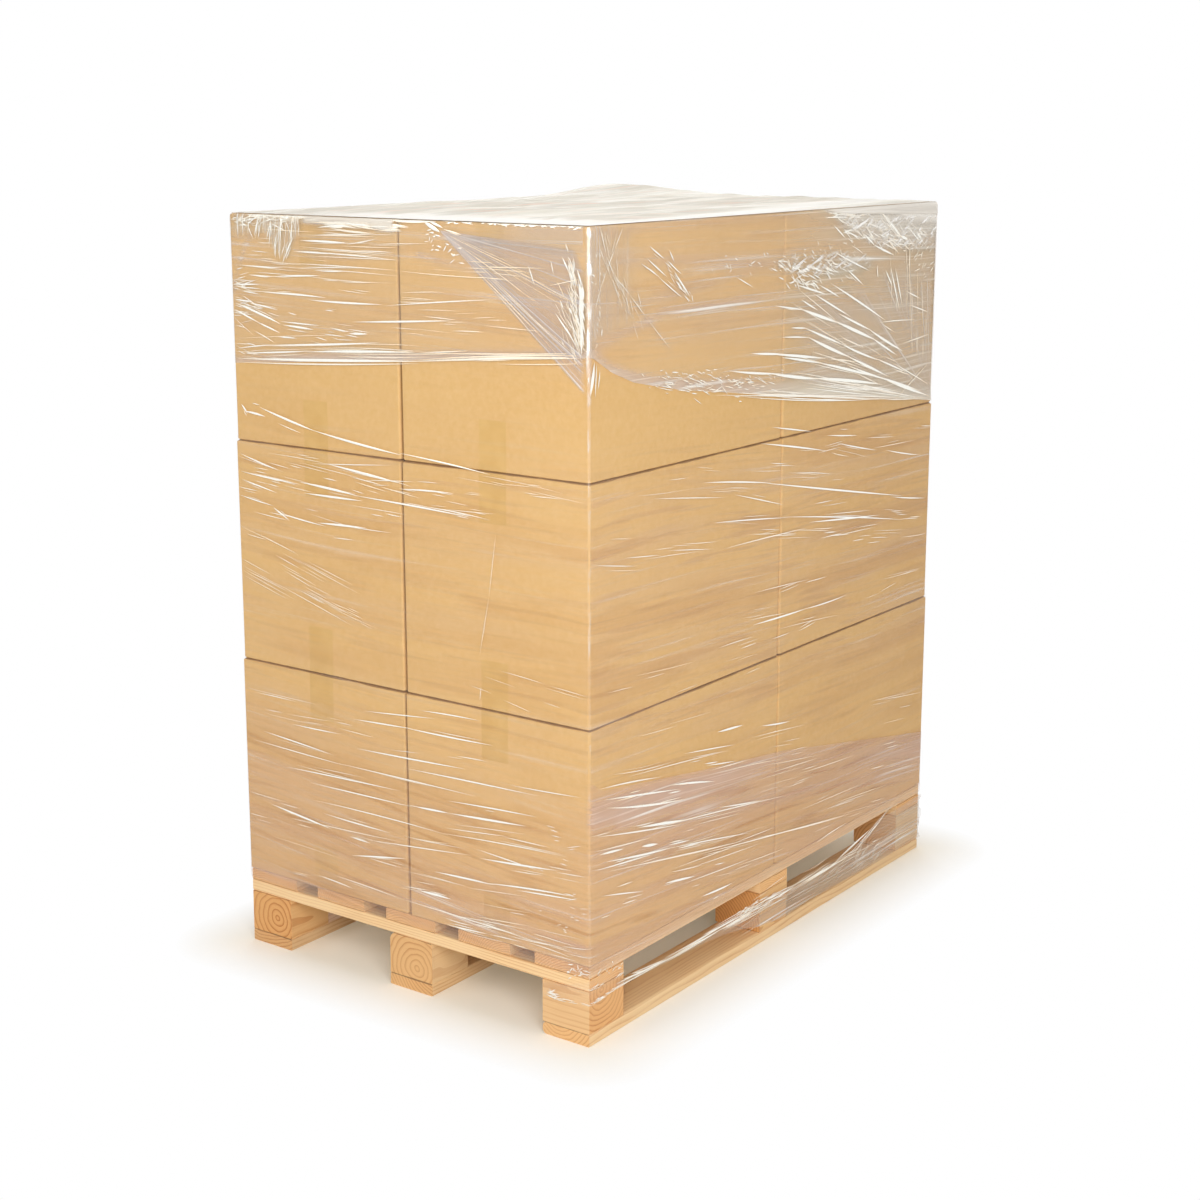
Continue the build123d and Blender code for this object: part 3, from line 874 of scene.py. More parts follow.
def make_edges():
    """A narrow strip over each upright edge, brightest at its middle: a painted highlight, partly taut film's
    whiteness.
    """
    material = crumpled_film("film_edge", 0.0, 3.0, even=0.25, patches=0.35, crease=0.5)
    heights = np.linspace(EDGE_HEIGHTS[0], EDGE_HEIGHTS[-1], 180)[:, None]
    shift = np.linspace(-1.6, 1.6, 13)[None, :]
    for name, (place, widths, strengths) in EDGES.items():
        half = np.interp(heights, EDGE_HEIGHTS, widths)
        strength = np.interp(heights, EDGE_HEIGHTS, strengths)
        along = place + shift * half
        height = np.broadcast_to(heights, along.shape)
        shown = np.exp(-(shift * 1.15) ** 4) * strength
        # The white is a painted highlight along the edge, partly the taut film's own whiteness.
        white = shown ** 3 * 0.45 * soft(strength, 0.4, 0.9)
        uvs = (height * MM, shift * half * MM * 1.5)
        sheet(f"film_edge_{name}", along, height, EDGE_LIFT, uvs, (shown, white), material)


TOP_WAVES = 18


def make_top():
    """The film over the top: slack, wrinkled, and standing up towards the far left corner."""
    material = film("film_top", 0.0, 4.0, even=0.36, band=0.22, line=0.5, grain=0.2,
                    tint=colour(238, 230, 206), gloss=0.6)
    half_x, half_y = HALF_X + TOP_OVERHANG, HALF_Y + TOP_OVERHANG
    x, y = np.meshgrid(np.linspace(-half_x, half_x, 120), np.linspace(-half_y, half_y, 170))
    rim = np.minimum(half_x - np.abs(x), half_y - np.abs(y))
    random = np.random.default_rng(11)
    wrinkle = np.zeros_like(x)
    for _ in range(TOP_WAVES):
        turn = random.normal(0, 0.12)
        wave = 2 * math.pi / random.uniform(25, 140)
        phase = random.uniform(0, 6.28)
        wrinkle += np.sin(wave * (x * math.cos(turn) + y * math.sin(turn)) + phase)
    wrinkle /= math.sqrt(TOP_WAVES)
    tuft = 20 * np.exp(-((x + HALF_X - 40) ** 2 + (y - HALF_Y + 60) ** 2) / 190 ** 2)
    slack = np.clip(rim / 90, 0, 1) * (4 + 2.6 * wrinkle)
    height = LOAD_TOP + 1.5 + slack + tuft * np.clip(rim / 25, 0.3, 1)
    points = np.stack([x, y, height], axis=-1).reshape(-1, 3) * MM
    uvs = np.stack([y * MM, x * MM], axis=-1).reshape(-1, 2)
    drape = np.exp(-((y + HALF_Y - 35) / 45) ** 2) * soft(x, -380, 80)
    crease = np.exp(-((x - HALF_X + 40 + y * 0.12) / 40) ** 2)
    # The top's whiteness is partly painted reflection of the pale studio at a low angle, partly folds by the
    # near and right edges.
    white = 0.4 + 0.35 * drape + 0.25 * crease
    own = np.stack([np.ones_like(height), white], axis=-1).reshape(-1, 2)
    piece("film_top_sheet", points, grid_faces(*x.shape), material, uvs, own)


# A pleat's points along it, its width against the stated one, and its ridge's height in half widths.
PLEAT_POINTS = 9
PLEAT_SLIM = 0.85
PLEAT_RIDGE = 0.3
PLEAT_LIFT = 2.6
# A listed pleat may have a fainter, thinner one beside it, which lies lower.
ECHO_WIDTH = 0.45
ECHO_SHINE = 0.55
ECHO_DROP = 0.3


def on_path(path, share):
    """The point at this share of a path, each of whose runs counts alike."""
    steps = np.linspace(0, 1, len(path))
    return np.array([np.interp(share, steps, path[:, 0]), np.interp(share, steps, path[:, 1])])


class Pleats:
    """Collects thin raised folds of film and makes them one piece."""

    def __init__(self, seed):
        self.random = np.random.default_rng(seed)
        self.rows = []

    def line(self, start, end, width, shine, bow=0.0, lift=PLEAT_LIFT):
        """One pleat, from a place round the load and a height to another."""
        self.rows.append((*start, *end, width, shine, bow, lift))

    def strokes(self, face, rows, lift=PLEAT_LIFT):
        """Pleats listed one by one: where each starts and ends on a face, its width and its shine."""
        r = self.random
        for start_u, start_z, end_u, end_z, width, shine in rows:
            start = np.array([FACE_START[face] + start_u, start_z])
            run = np.array([end_u - start_u, end_z - start_z])
            bow = r.normal(0, 0.006)
            self.line(start, start + run, width, shine, bow, lift)
            for _ in range(r.integers(0, 2)):
                aside = np.array([0, r.normal(0, 2.5 * width)])
                cut = r.uniform(0.1, 0.45, 2)
                first, last = start + run * cut[0] + aside, start + run * (1 - cut[1]) + aside
                self.line(first, last, width * ECHO_WIDTH, shine * ECHO_SHINE, bow, lift - ECHO_DROP)

    def field(self, face, across, heights, count, slope, spread, length, width, shine, group=3):
        """Bundles of near-parallel pleats in a rectangle of one face.

        slope and spread are the mean and spread of how they climb, length, width and shine ranges.
        """
        r = self.random
        base = FACE_START[face]
        for _ in range(count):
            middle = (r.uniform(*across), r.uniform(*heights))
            lean = r.normal(slope, spread)
            for member in range(r.integers(1, group + 1)):
                long = length[0] + (length[1] - length[0]) * r.random() ** 2.5
                half = long / 2
                u = middle[0] + r.normal(0, long * 0.3)
                z = middle[1] + member * r.uniform(3, 9) + (u - middle[0]) * lean
                u = np.clip(u, half, FACE_WIDTH[face] - half)
                tilt = lean + r.normal(0, 0.012)
                self.line((base + u - half, z - half * tilt), (base + u + half, z + half * tilt),
                          r.uniform(*width), r.uniform(*shine), r.normal(0, 0.005))

    def fan(self, face, apex, targets, count, width, shine, reach=(0.25, 0.8), short=0.0):
        """Pleats that run together at one point, where the film is pulled to a corner.

        targets is the path from which they come, reach how much of the way each is long, and short
        the share of the way that is left free by the point.
        """
        r = self.random
        apex, targets = np.array(apex), np.array(targets, float)
        base = np.array([FACE_START[face], 0])
        for _ in range(count):
            end = on_path(targets, r.random())
            near = r.uniform(short, short + 0.5)
            far = min(1.0, near + r.uniform(*reach))
            start = apex + (end - apex) * near + r.normal(0, 2, 2)
            stop = apex + (end - apex) * far + r.normal(0, 4, 2)
            self.line(base + start, base + stop, r.uniform(*width), r.uniform(*shine), r.normal(0, 0.008))

    def glints(self, face, path, spread, count, length, turn, width, shine, lean=None):
        """Short broken folds scattered along a path, as in crumpled film.

        spread is how far they lie from it, lean their angle, the path's own where there is none,
        and turn how much that varies.
        """
        r = self.random
        path = np.array(path, float)
        if lean is None:
            lean = math.atan2(path[-1][1] - path[0][1], path[-1][0] - path[0][0])
        for _ in range(count):
            middle = on_path(path, r.random()) + (FACE_START[face], 0)
            middle = middle + (r.normal(0, spread * 0.6), r.normal(0, spread))
            angle = lean + r.normal(0, turn)
            half = r.uniform(*length) / 2 * np.array([math.cos(angle), math.sin(angle)])
            self.line(middle - half, middle + half, r.uniform(*width), r.uniform(*shine), r.normal(0, 0.015))

    def make(self, name, material):
        """The pleats as one piece: each is a low ridge that tapers to both ends."""
        rows = np.array(self.rows)
        start, run = rows[:, None, 0:2], rows[:, None, 2:4] - rows[:, None, 0:2]
        width, shine, bow, lift = rows[:, 4:].T
        share = np.linspace(0, 1, PLEAT_POINTS)[None, :, None]
        long = np.linalg.norm(run, axis=-1, keepdims=True)
        side = np.stack([-run[..., 1], run[..., 0]], axis=-1) / np.maximum(long, 1e-6)
        line = start + run * share + side * long * bow[:, None, None] * 4 * share * (1 - share)
        taper = np.sin(math.pi * np.clip(share, 0.02, 0.98)) ** 0.8
        half = width[:, None, None] / 2 * taper * PLEAT_SLIM
        rails = [wrap_point(rail[..., 0], np.minimum(rail[..., 1], LOAD_TOP), lift[:, None] + rise)
                 for rail, rise in ((line - side * half, 0), (line, half[..., 0] * PLEAT_RIDGE),
                                    (line + side * half, 0))]
        points = np.stack(rails, axis=2).reshape(-1, 3)
        faces = np.arange(len(rows))[:, None, None] * PLEAT_POINTS * 3 + grid_faces(PLEAT_POINTS, 3)[None]
        # How much of the painted highlight each point shows, fading to both ends.
        bright = shine[:, None] * np.sin(math.pi * np.linspace(0.04, 0.96, PLEAT_POINTS)) ** 0.5
        own = np.repeat(bright.reshape(-1), 3).reshape(-1, 3) * np.array([0.85, 1.0, 0.85])
        own = np.stack([own.reshape(-1), np.zeros(own.size)], axis=-1)
        return piece(name, points, faces.reshape(-1, 4), material, own=own)


def near_upper_pleats(material):
    """The upper windings on the near end: long level pleats, a fan at the left edge, a thick hem."""
    p = Pleats(21)
    p.strokes("near", [
        (147, 1305, 396, 1303, 2.4, 0.6), (396, 1303, 640, 1300, 1.6, 0.35),
        (44, 1280, 107, 1279, 3.0, 0.8), (110, 1280, 223, 1286, 3.6, 1.0), (208, 1295, 280, 1296, 2.6, 0.8),
        (82, 1250, 235, 1248, 3.8, 1.0), (193, 1242, 365, 1243, 4.0, 1.0), (370, 1241, 610, 1264, 2.4, 0.9),
        (44, 1230, 116, 1220, 3.0, 0.9), (7, 1234, 53, 1231, 3.2, 1.0), (9, 1227, 122, 1195, 4.6, 1.0),
        (5, 1216, 66, 1195, 3.4, 1.0), (60, 1196, 119, 1179, 3.0, 0.9), (128, 1194, 202, 1190, 4.4, 1.0),
        (122, 1200, 217, 1198, 2.8, 0.9), (241, 1196, 289, 1191, 2.4, 0.8),
        (286, 1188, 330, 1190, 4.4, 0.9), (295, 1209, 520, 1224, 3.8, 0.95), (8, 1144, 103, 1157, 2.6, 0.8),
        (95, 1156, 359, 1177, 4.0, 0.95), (24, 1137, 196, 1152, 3.4, 0.9), (180, 1149, 438, 1165, 4.8, 1.0),
        (11, 1126, 449, 1151, 6.0, 0.95), (8, 1119, 449, 1147, 3.4, 0.6), (400, 1146, 800, 1181, 4.0, 0.55),
        (430, 1151, 790, 1183, 3.0, 0.4), (172, 1335, 396, 1330, 2.0, 0.6),
        (160, 1326, 251, 1325, 3.4, 0.9), (166, 1327, 396, 1321, 2.4, 0.8),
        (175, 1346, 292, 1345, 4.4, 1.0), (286, 1343, 356, 1355, 2.4, 0.7),
        (197, 1356, 359, 1362, 2.4, 0.7), (28, 1297, 132, 1296, 3.0, 0.8), (2, 1261, 72, 1264, 3.4, 0.9),
        (18, 1257, 76, 1256, 2.4, 0.8), (25, 1250, 72, 1246, 2.4, 0.8), (53, 1180, 106, 1160, 2.0, 0.6),
        (113, 1172, 162, 1172, 3.0, 0.8), (449, 1166, 556, 1176, 2.4, 0.6),
        (520, 1207, 590, 1209, 2.0, 0.5), (461, 1228, 530, 1226, 1.8, 0.5),
    ])
    for row in (
        ((5, 420), (1250, 1385), 24, 0.0, 0.02, (40, 240), (0.8, 2.0), (0.25, 0.8)),
        ((5, 300), (1160, 1240), 14, -0.1, 0.12, (20, 90), (0.8, 2.0), (0.3, 0.9)),
        ((5, 60), (1130, 1300), 16, -0.1, 0.25, (15, 60), (0.8, 2.2), (0.4, 0.9)),
        ((400, 640), (1190, 1320), 12, 0.03, 0.04, (40, 180), (0.8, 1.6), (0.2, 0.5)),
        ((10, 780), (1150, 1172), 8, 0.07, 0.01, (160, 500), (1.2, 2.6), (0.25, 0.6)),
    ):
        p.field("near", *row)
    # Film drawn tight over the top edge, ragged along it.
    for row in (
        ([(60, 1388), (460, 1388)], 3, 60, (20, 90), 0.03, (2.0, 6.0), (0.5, 1.0), 0.0),
        ([(250, 1378), (400, 1378)], 5, 22, (30, 120), 0.05, (2.0, 5.0), (0.5, 0.95), 0.0),
        ([(490, 1389), (790, 1389)], 1.5, 70, (6, 26), 0.25, (1.5, 4.0), (0.5, 1.0), 0.0),
    ):
        p.glints("near", *row)
    p.make("film_pleats_near_upper", material)


def flap_pleats(material):
    """A crinkled end of film that hangs over the near edge at its left corner."""
    p = Pleats(31)
    for row in (
        ([(40, 1368), (176, 1368)], 9, 20, (16, 46), 0.3, (0.8, 2.6), (0.6, 1.0), 1.5),
        ([(104, 1335), (150, 1330)], 9, 12, (14, 40), 0.2, (0.8, 2.4), (0.6, 1.0), 1.45),
        ([(12, 1378), (175, 1380)], 6, 46, (10, 44), 0.3, (0.9, 3.0), (0.6, 1.0), 0.1),
    ):
        p.glints("near", *row)
    p.strokes("near", [
        (114, 1356, 113, 1312, 3.0, 1.0), (160, 1354, 131, 1305, 2.6, 1.0), (105, 1385, 98, 1333, 2.4, 0.9),
        (157, 1387, 152, 1334, 3.0, 0.9), (130, 1388, 126, 1340, 4.0, 0.9), (75, 1388, 62, 1350, 4.0, 0.9),
    ])
    p.make("film_flap_pleats", material)


def near_lower_pleats(material):
    """Below the upper windings: two slanting pleats, then the streaks of the middle layer."""
    p = Pleats(22)
    p.strokes("near", [
        (62, 1040, 200, 1008, 4.6, 1.0), (190, 1010, 402, 985, 4.6, 0.95), (395, 988, 600, 971, 3.0, 0.8),
        (15, 1042, 30, 1026, 4.0, 0.9), (22, 1030, 75, 1024, 4.6, 1.0), (10, 950, 110, 928, 3.0, 0.9),
        (10, 917, 160, 908, 3.4, 0.9), (12, 902, 100, 886, 2.8, 0.9), (230, 952, 400, 935, 5.0, 1.0),
        (160, 912, 300, 902, 5.0, 1.0), (170, 893, 310, 894, 4.4, 1.0), (190, 949, 380, 965, 2.0, 0.7),
        (290, 902, 560, 893, 3.6, 0.9), (400, 925, 520, 930, 3.4, 0.9), (440, 900, 600, 893, 2.2, 0.7),
        (90, 858, 130, 838, 3.4, 0.8), (95, 851, 220, 838, 3.0, 0.8), (200, 842, 320, 846, 4.6, 1.0),
        (5, 872, 90, 861, 2.6, 0.9), (20, 800, 70, 795, 1.6, 0.5),
    ])
    for row in (
        ((5, 400), (840, 955), 20, -0.06, 0.06, (30, 160), (0.8, 2.0), (0.3, 0.8)),
        ((400, 790), (870, 960), 12, -0.04, 0.05, (30, 140), (0.8, 1.6), (0.2, 0.6)),
        ((5, 230), (690, 775), 9, -0.26, 0.03, (60, 200), (0.8, 1.8), (0.3, 0.7), 4),
        ((40, 330), (660, 720), 5, -0.22, 0.05, (30, 120), (0.8, 1.6), (0.2, 0.5)),
        ((420, 790), (570, 640), 6, -0.12, 0.04, (40, 130), (0.8, 1.6), (0.2, 0.6)),
    ):
        p.field("near", *row)
    p.strokes("near", [
        (611, 869, 595, 760, 1.6, 0.35), (595, 760, 573, 654, 1.6, 0.3), (575, 600, 572, 575, 1.6, 0.5),
        (123, 453, 245, 456, 2.4, 0.9), (48, 426, 222, 413, 2.8, 0.95), (20, 405, 260, 398, 2.2, 0.7),
        (240, 399, 560, 401, 2.6, 0.75), (307, 510, 471, 525, 2.4, 0.8), (279, 490, 420, 497, 3.0, 0.8),
        (400, 496, 600, 500, 3.4, 1.0), (439, 534, 570, 539, 2.6, 0.9), (105, 367, 384, 376, 2.8, 0.95),
        (285, 436, 539, 446, 3.2, 1.0), (62, 286, 216, 269, 4.4, 1.0), (261, 264, 312, 262, 3.0, 0.8),
        (164, 348, 420, 352, 2.8, 0.8), (420, 354, 500, 358, 4.2, 1.0), (500, 358, 672, 370, 4.6, 1.0),
        (497, 380, 696, 391, 2.8, 0.95), (198, 295, 362, 292, 2.8, 0.9), (175, 316, 497, 317, 2.4, 0.8),
        (480, 317, 760, 334, 2.2, 0.7), (312, 268, 549, 291, 2.4, 0.7), (267, 229, 395, 251, 3.6, 0.9),
        (465, 242, 600, 248, 4.0, 0.95), (580, 247, 775, 267, 3.4, 0.9), (427, 198, 502, 199, 5.0, 1.0),
        (221, 180, 389, 172, 2.2, 0.6), (380, 172, 701, 166, 2.4, 0.7), (401, 421, 696, 429, 2.8, 0.9),
        (492, 149, 586, 154, 3.0, 0.8), (570, 290, 736, 305, 4.0, 1.0), (180, 171, 267, 165, 2.6, 0.7),
        (122, 270, 390, 281, 1.8, 0.5), (560, 305, 700, 296, 2.4, 0.8), (650, 250, 780, 262, 3.0, 0.9),
    ])
    for row in (
        ((5, 420), (160, 500), 14, 0.01, 0.03, (40, 220), (0.8, 2.0), (0.2, 0.7), 2),
        ((400, 795), (160, 500), 18, 0.04, 0.03, (40, 200), (0.8, 2.2), (0.3, 0.85), 2),
        ((700, 798), (190, 400), 14, 0.1, 0.2, (8, 34), (0.9, 2.2), (0.5, 1.0), 2),
    ):
        p.field("near", *row)
    p.glints("near", [(500, 160), (795, 165)], 10, 20, (30, 120), 0.04, (1.0, 2.4), (0.3, 0.8))
    p.make("film_pleats_near_lower", material)


def gusset_pleats(material):
    """Bright upright folds beside the near right corner, and the soft lines of its fan."""
    p = Pleats(32)
    p.fan("near", (498, 1374), [(797, 1116), (797, 1190), (797, 1290)], 20, (0.5, 1.1), (0.1, 0.4),
          (0.2, 0.7), 0.05)
    p.strokes("near", [
        (684, 1324, 697, 1292, 2.6, 0.9), (730, 1333, 736, 1311, 2.2, 0.8),
        (753, 1340, 767, 1316, 3.2, 1.0), (760, 1361, 766, 1347, 2.2, 0.8),
        (783, 1321, 793, 1294, 3.6, 1.0), (748, 1271, 756, 1255, 2.2, 0.8),
        (766, 1260, 773, 1248, 3.0, 0.9), (738, 1250, 776, 1206, 3.0, 0.9),
        (758, 1231, 783, 1194, 2.4, 0.8), (725, 1292, 791, 1306, 1.4, 0.5),
        (463, 1387, 498, 1371, 8.0, 1.0), (470, 1390, 505, 1378, 5.0, 0.8),
        (485, 1366, 500, 1364, 3.0, 0.8), (505, 1376, 545, 1368, 3.0, 0.5),
    ], lift=3.1)
    for row in (
        ([(770, 1330), (786, 1200)], 5, 60, (14, 50), 0.16, (0.9, 2.4), (0.3, 0.9), -1.25),
        ([(740, 1300), (780, 1180)], 14, 26, (14, 44), 0.12, (0.9, 1.8), (0.25, 0.6), -1.1),
        ([(790, 1290), (792, 1200)], 3, 46, (14, 46), 0.08, (1.6, 3.6), (0.6, 1.0), -1.5),
        ([(460, 1365), (545, 1330)], 9, 22, (5, 14), 0.5, (1.4, 2.8), (0.6, 1.0), 0.3),
    ):
        p.glints("near", *row)
    p.glints("right", [(25, 1380), (70, 1290), (130, 1225)], 12, 40, (10, 46), 0.16, (0.8, 1.8),
             (0.3, 0.8), -1.1)
    p.glints("right", [(15, 1370), (20, 1210)], 9, 30, (4, 12), 0.5, (1.0, 2.2), (0.5, 0.95), -1.2)
    p.strokes("right", [
        (6, 1173, 1, 1119, 4.0, 1.0), (12, 1170, 8, 1115, 3.0, 0.9), (21, 1159, 16, 1127, 2.6, 0.9),
        (158, 1351, 203, 1327, 3.0, 1.0), (151, 1331, 210, 1297, 3.0, 0.95),
        (133, 1324, 190, 1297, 2.4, 0.9), (186, 1298, 259, 1258, 2.6, 0.9),
        (217, 1341, 232, 1321, 3.0, 0.9), (210, 1325, 255, 1298, 2.6, 0.9),
        (232, 1304, 282, 1258, 4.4, 0.9), (236, 1290, 262, 1268, 3.4, 0.9),
        (428, 1283, 486, 1261, 2.4, 0.8), (266, 1262, 280, 1250, 2.4, 0.8),
        (285, 1262, 292, 1248, 2.0, 0.8), (19, 1387, 38, 1341, 1.8, 0.7), (36, 1343, 60, 1306, 1.8, 0.7),
        (58, 1308, 105, 1273, 1.6, 0.6), (102, 1275, 154, 1231, 1.6, 0.6), (150, 1234, 223, 1175, 1.4, 0.5),
        (84, 1387, 58, 1348, 1.8, 0.7), (60, 1350, 38, 1318, 1.8, 0.7), (40, 1320, 20, 1288, 1.6, 0.6),
        (22, 1290, 7, 1258, 1.6, 0.6), (30, 1385, 52, 1322, 1.2, 0.5), (48, 1328, 96, 1262, 1.2, 0.5),
        (70, 1386, 46, 1330, 1.2, 0.5),
    ], lift=3.0)
    p.glints("right", [(215, 1312), (275, 1262)], 6, 24, (8, 30), 0.2, (0.9, 2.0), (0.4, 0.9))
    p.make("film_pleats_corner", material)


def right_upper_pleats(material):
    """The right side's upper windings: a great fan to the far corner, above a roped hem."""
    p = Pleats(23)
    p.strokes("right", [
        (635, 1256, 753, 1229, 4.4, 1.0), (698, 1236, 843, 1181, 4.4, 1.0),
        (720, 1250, 800, 1221, 3.8, 1.0), (762, 1251, 987, 1162, 5.0, 1.0),
        (823, 1274, 891, 1239, 4.0, 0.95), (771, 1310, 915, 1265, 4.4, 1.0),
        (653, 1228, 716, 1203, 3.6, 1.0), (561, 1223, 670, 1207, 3.6, 0.9),
        (650, 1211, 800, 1172, 7.0, 1.0), (780, 1178, 950, 1126, 7.5, 1.0),
        (930, 1133, 1039, 1088, 5.0, 1.0), (796, 1191, 930, 1147, 5.0, 1.0),
        (915, 1152, 1065, 1094, 6.0, 1.0), (618, 1178, 680, 1172, 3.6, 0.9),
        (668, 1174, 820, 1128, 5.0, 1.0), (805, 1133, 965, 1085, 5.0, 1.0),
        (950, 1090, 1081, 1050, 4.0, 0.9), (587, 1163, 690, 1154, 3.4, 0.8),
        (681, 1156, 850, 1101, 7.0, 1.0), (835, 1105, 1000, 1050, 6.0, 1.0),
        (549, 1136, 750, 1109, 6.0, 1.0), (588, 1126, 735, 1101, 5.0, 1.0),
        (720, 1104, 948, 1054, 6.0, 1.0), (549, 1100, 727, 1072, 7.0, 1.0),
        (700, 1076, 980, 1035, 7.0, 1.0), (835, 1088, 1010, 1040, 4.6, 0.9),
        (945, 1275, 950, 1248, 3.6, 0.8), (980, 1263, 1011, 1228, 4.4, 1.0),
        (1000, 1271, 1043, 1181, 5.0, 0.9), (1021, 1265, 1055, 1188, 5.0, 0.9),
        (1073, 1214, 1132, 1196, 3.0, 0.8), (1089, 1185, 1170, 1165, 3.0, 0.8),
        (961, 1160, 1111, 1154, 2.6, 0.8), (885, 1339, 935, 1312, 4.6, 0.9),
        (925, 1316, 1015, 1290, 5.0, 1.0), (953, 1379, 1046, 1323, 10.0, 0.9),
        (1040, 1326, 1072, 1319, 7.0, 0.9), (899, 1358, 979, 1342, 5.0, 0.9),
        (409, 1119, 590, 1096, 5.0, 0.9), (483, 1143, 600, 1131, 5.0, 1.0),
        (930, 1060, 1150, 1003, 5.0, 0.9), (1000, 1040, 1185, 990, 6.0, 0.9),
        (1020, 1075, 1180, 1015, 3.0, 0.8), (1060, 1110, 1185, 1120, 2.4, 0.7),
        (1040, 1000, 1180, 1060, 2.2, 0.6),
    ], lift=3.0)
    for row in (
        ([(330, 1308), (620, 1296), (870, 1318)], 13, 60, (5, 20), 0.35, (1.0, 2.6), (0.5, 1.0), -0.5),
        ([(560, 1290), (860, 1275)], 11, 80, (10, 44), 0.22, (1.2, 3.4), (0.6, 1.0), -0.35),
        ([(600, 1262), (720, 1252)], 7, 22, (10, 40), 0.4, (1.4, 3.4), (0.6, 1.0), -0.5),
        ([(800, 1350), (1150, 1330)], 18, 110, (16, 70), 0.28, (1.2, 4.0), (0.6, 1.0), -0.35),
        ([(780, 1382), (1190, 1380)], 6, 70, (30, 110), 0.08, (1.4, 5.0), (0.6, 1.0), 0.03),
        ([(1080, 1290), (1180, 1270)], 22, 40, (8, 30), 0.5, (1.0, 2.6), (0.5, 1.0), 0.7),
        ([(1060, 1250), (1170, 1150)], 40, 26, (40, 130), 0.06, (1.0, 2.6), (0.3, 0.7), -1.45),
        ([(180, 1118), (560, 1078)], 11, 90, (8, 40), 0.16, (0.9, 2.4), (0.5, 1.0), -0.2),
        ([(120, 1135), (600, 1095)], 8, 30, (5, 14), 0.4, (1.0, 2.2), (0.5, 0.9), -0.5),
    ):
        p.glints("right", *row)
    for row in (
        ((1192, 984), [(620, 1100), (640, 1080), (660, 1064)], 26, (1.0, 2.6), (0.6, 1.0), (0.2, 0.7), 0.05),
        ((1198, 980), [(300, 1100), (380, 1082), (420, 1072)], 16, (1.0, 2.6), (0.5, 1.0), (0.2, 0.7), 0.1),
        ((1150, 1010), [(640, 1250), (600, 1190), (600, 1120)], 14, (1.0, 2.4), (0.3, 0.8), (0.2, 0.6), 0.2),
    ):
        p.fan("right", *row)
    p.make("film_pleats_right_upper", material)


def right_lower_pleats(material):
    """The right side's middle and lower windings, rising towards the near end."""
    p = Pleats(24)
    p.strokes("right", [
        (330, 930, 560, 896, 3.4, 0.9), (520, 903, 1082, 794, 4.2, 1.0), (363, 853, 620, 822, 2.8, 0.9),
        (600, 826, 1083, 744, 3.2, 1.0), (174, 925, 400, 893, 2.2, 0.6), (1030, 800, 1180, 775, 3.0, 0.9),
        (430, 894, 605, 848, 2.6, 0.7), (501, 639, 700, 632, 4.0, 1.0), (680, 633, 853, 629, 3.0, 0.8),
        (560, 1000, 700, 975, 3.0, 0.9), (520, 975, 760, 930, 4.0, 0.9), (800, 940, 960, 905, 3.0, 0.9),
        (760, 960, 880, 945, 3.0, 0.8), (1000, 900, 1150, 870, 3.0, 0.8), (700, 800, 980, 770, 4.0, 1.0),
        (400, 800, 700, 790, 2.4, 0.6), (32, 433, 260, 390, 3.6, 0.95), (39, 417, 282, 366, 4.0, 0.9),
        (136, 355, 283, 327, 5.5, 1.0), (12, 374, 268, 323, 3.0, 0.8), (39, 322, 245, 287, 4.0, 0.95),
        (230, 289, 504, 238, 2.6, 0.8), (216, 228, 314, 211, 4.6, 1.0), (26, 265, 151, 234, 2.6, 0.8),
        (337, 165, 440, 158, 4.4, 1.0), (382, 464, 470, 456, 4.6, 1.0), (536, 438, 638, 422, 3.4, 0.9),
        (230, 405, 375, 373, 4.0, 1.0), (391, 319, 537, 292, 3.0, 0.8), (144, 318, 194, 308, 6.0, 0.9),
        (20, 340, 90, 330, 4.6, 0.9), (26, 306, 504, 225, 2.4, 0.6), (500, 226, 900, 165, 2.4, 0.5),
        (143, 345, 631, 276, 2.6, 0.7), (306, 252, 859, 171, 2.6, 0.6), (748, 144, 878, 150, 2.4, 0.6),
        (60, 470, 240, 446, 2.0, 0.5), (100, 455, 420, 420, 2.0, 0.6), (20, 455, 200, 428, 3.0, 0.7),
    ])
    for row in (
        ((60, 700), (800, 960), 12, -0.15, 0.04, (60, 240), (0.8, 2.0), (0.2, 0.7)),
        ((500, 1190), (700, 950), 18, -0.13, 0.05, (50, 200), (0.8, 2.4), (0.3, 0.8)),
        ((420, 1150), (590, 690), 12, 0.0, 0.05, (60, 260), (0.8, 2.0), (0.2, 0.6)),
        ((20, 500), (500, 620), 6, -0.05, 0.05, (60, 220), (0.8, 1.6), (0.15, 0.4)),
        ((8, 420), (190, 440), 24, -0.14, 0.02, (30, 190), (0.9, 2.8), (0.3, 0.95), 2),
        ((300, 1190), (150, 330), 24, -0.12, 0.03, (60, 280), (0.8, 2.2), (0.2, 0.7), 2),
        ((500, 1190), (300, 420), 8, -0.12, 0.02, (60, 220), (0.8, 2.0), (0.2, 0.6), 2),
    ):
        p.field("right", *row)
    p.make("film_pleats_right_lower", material)


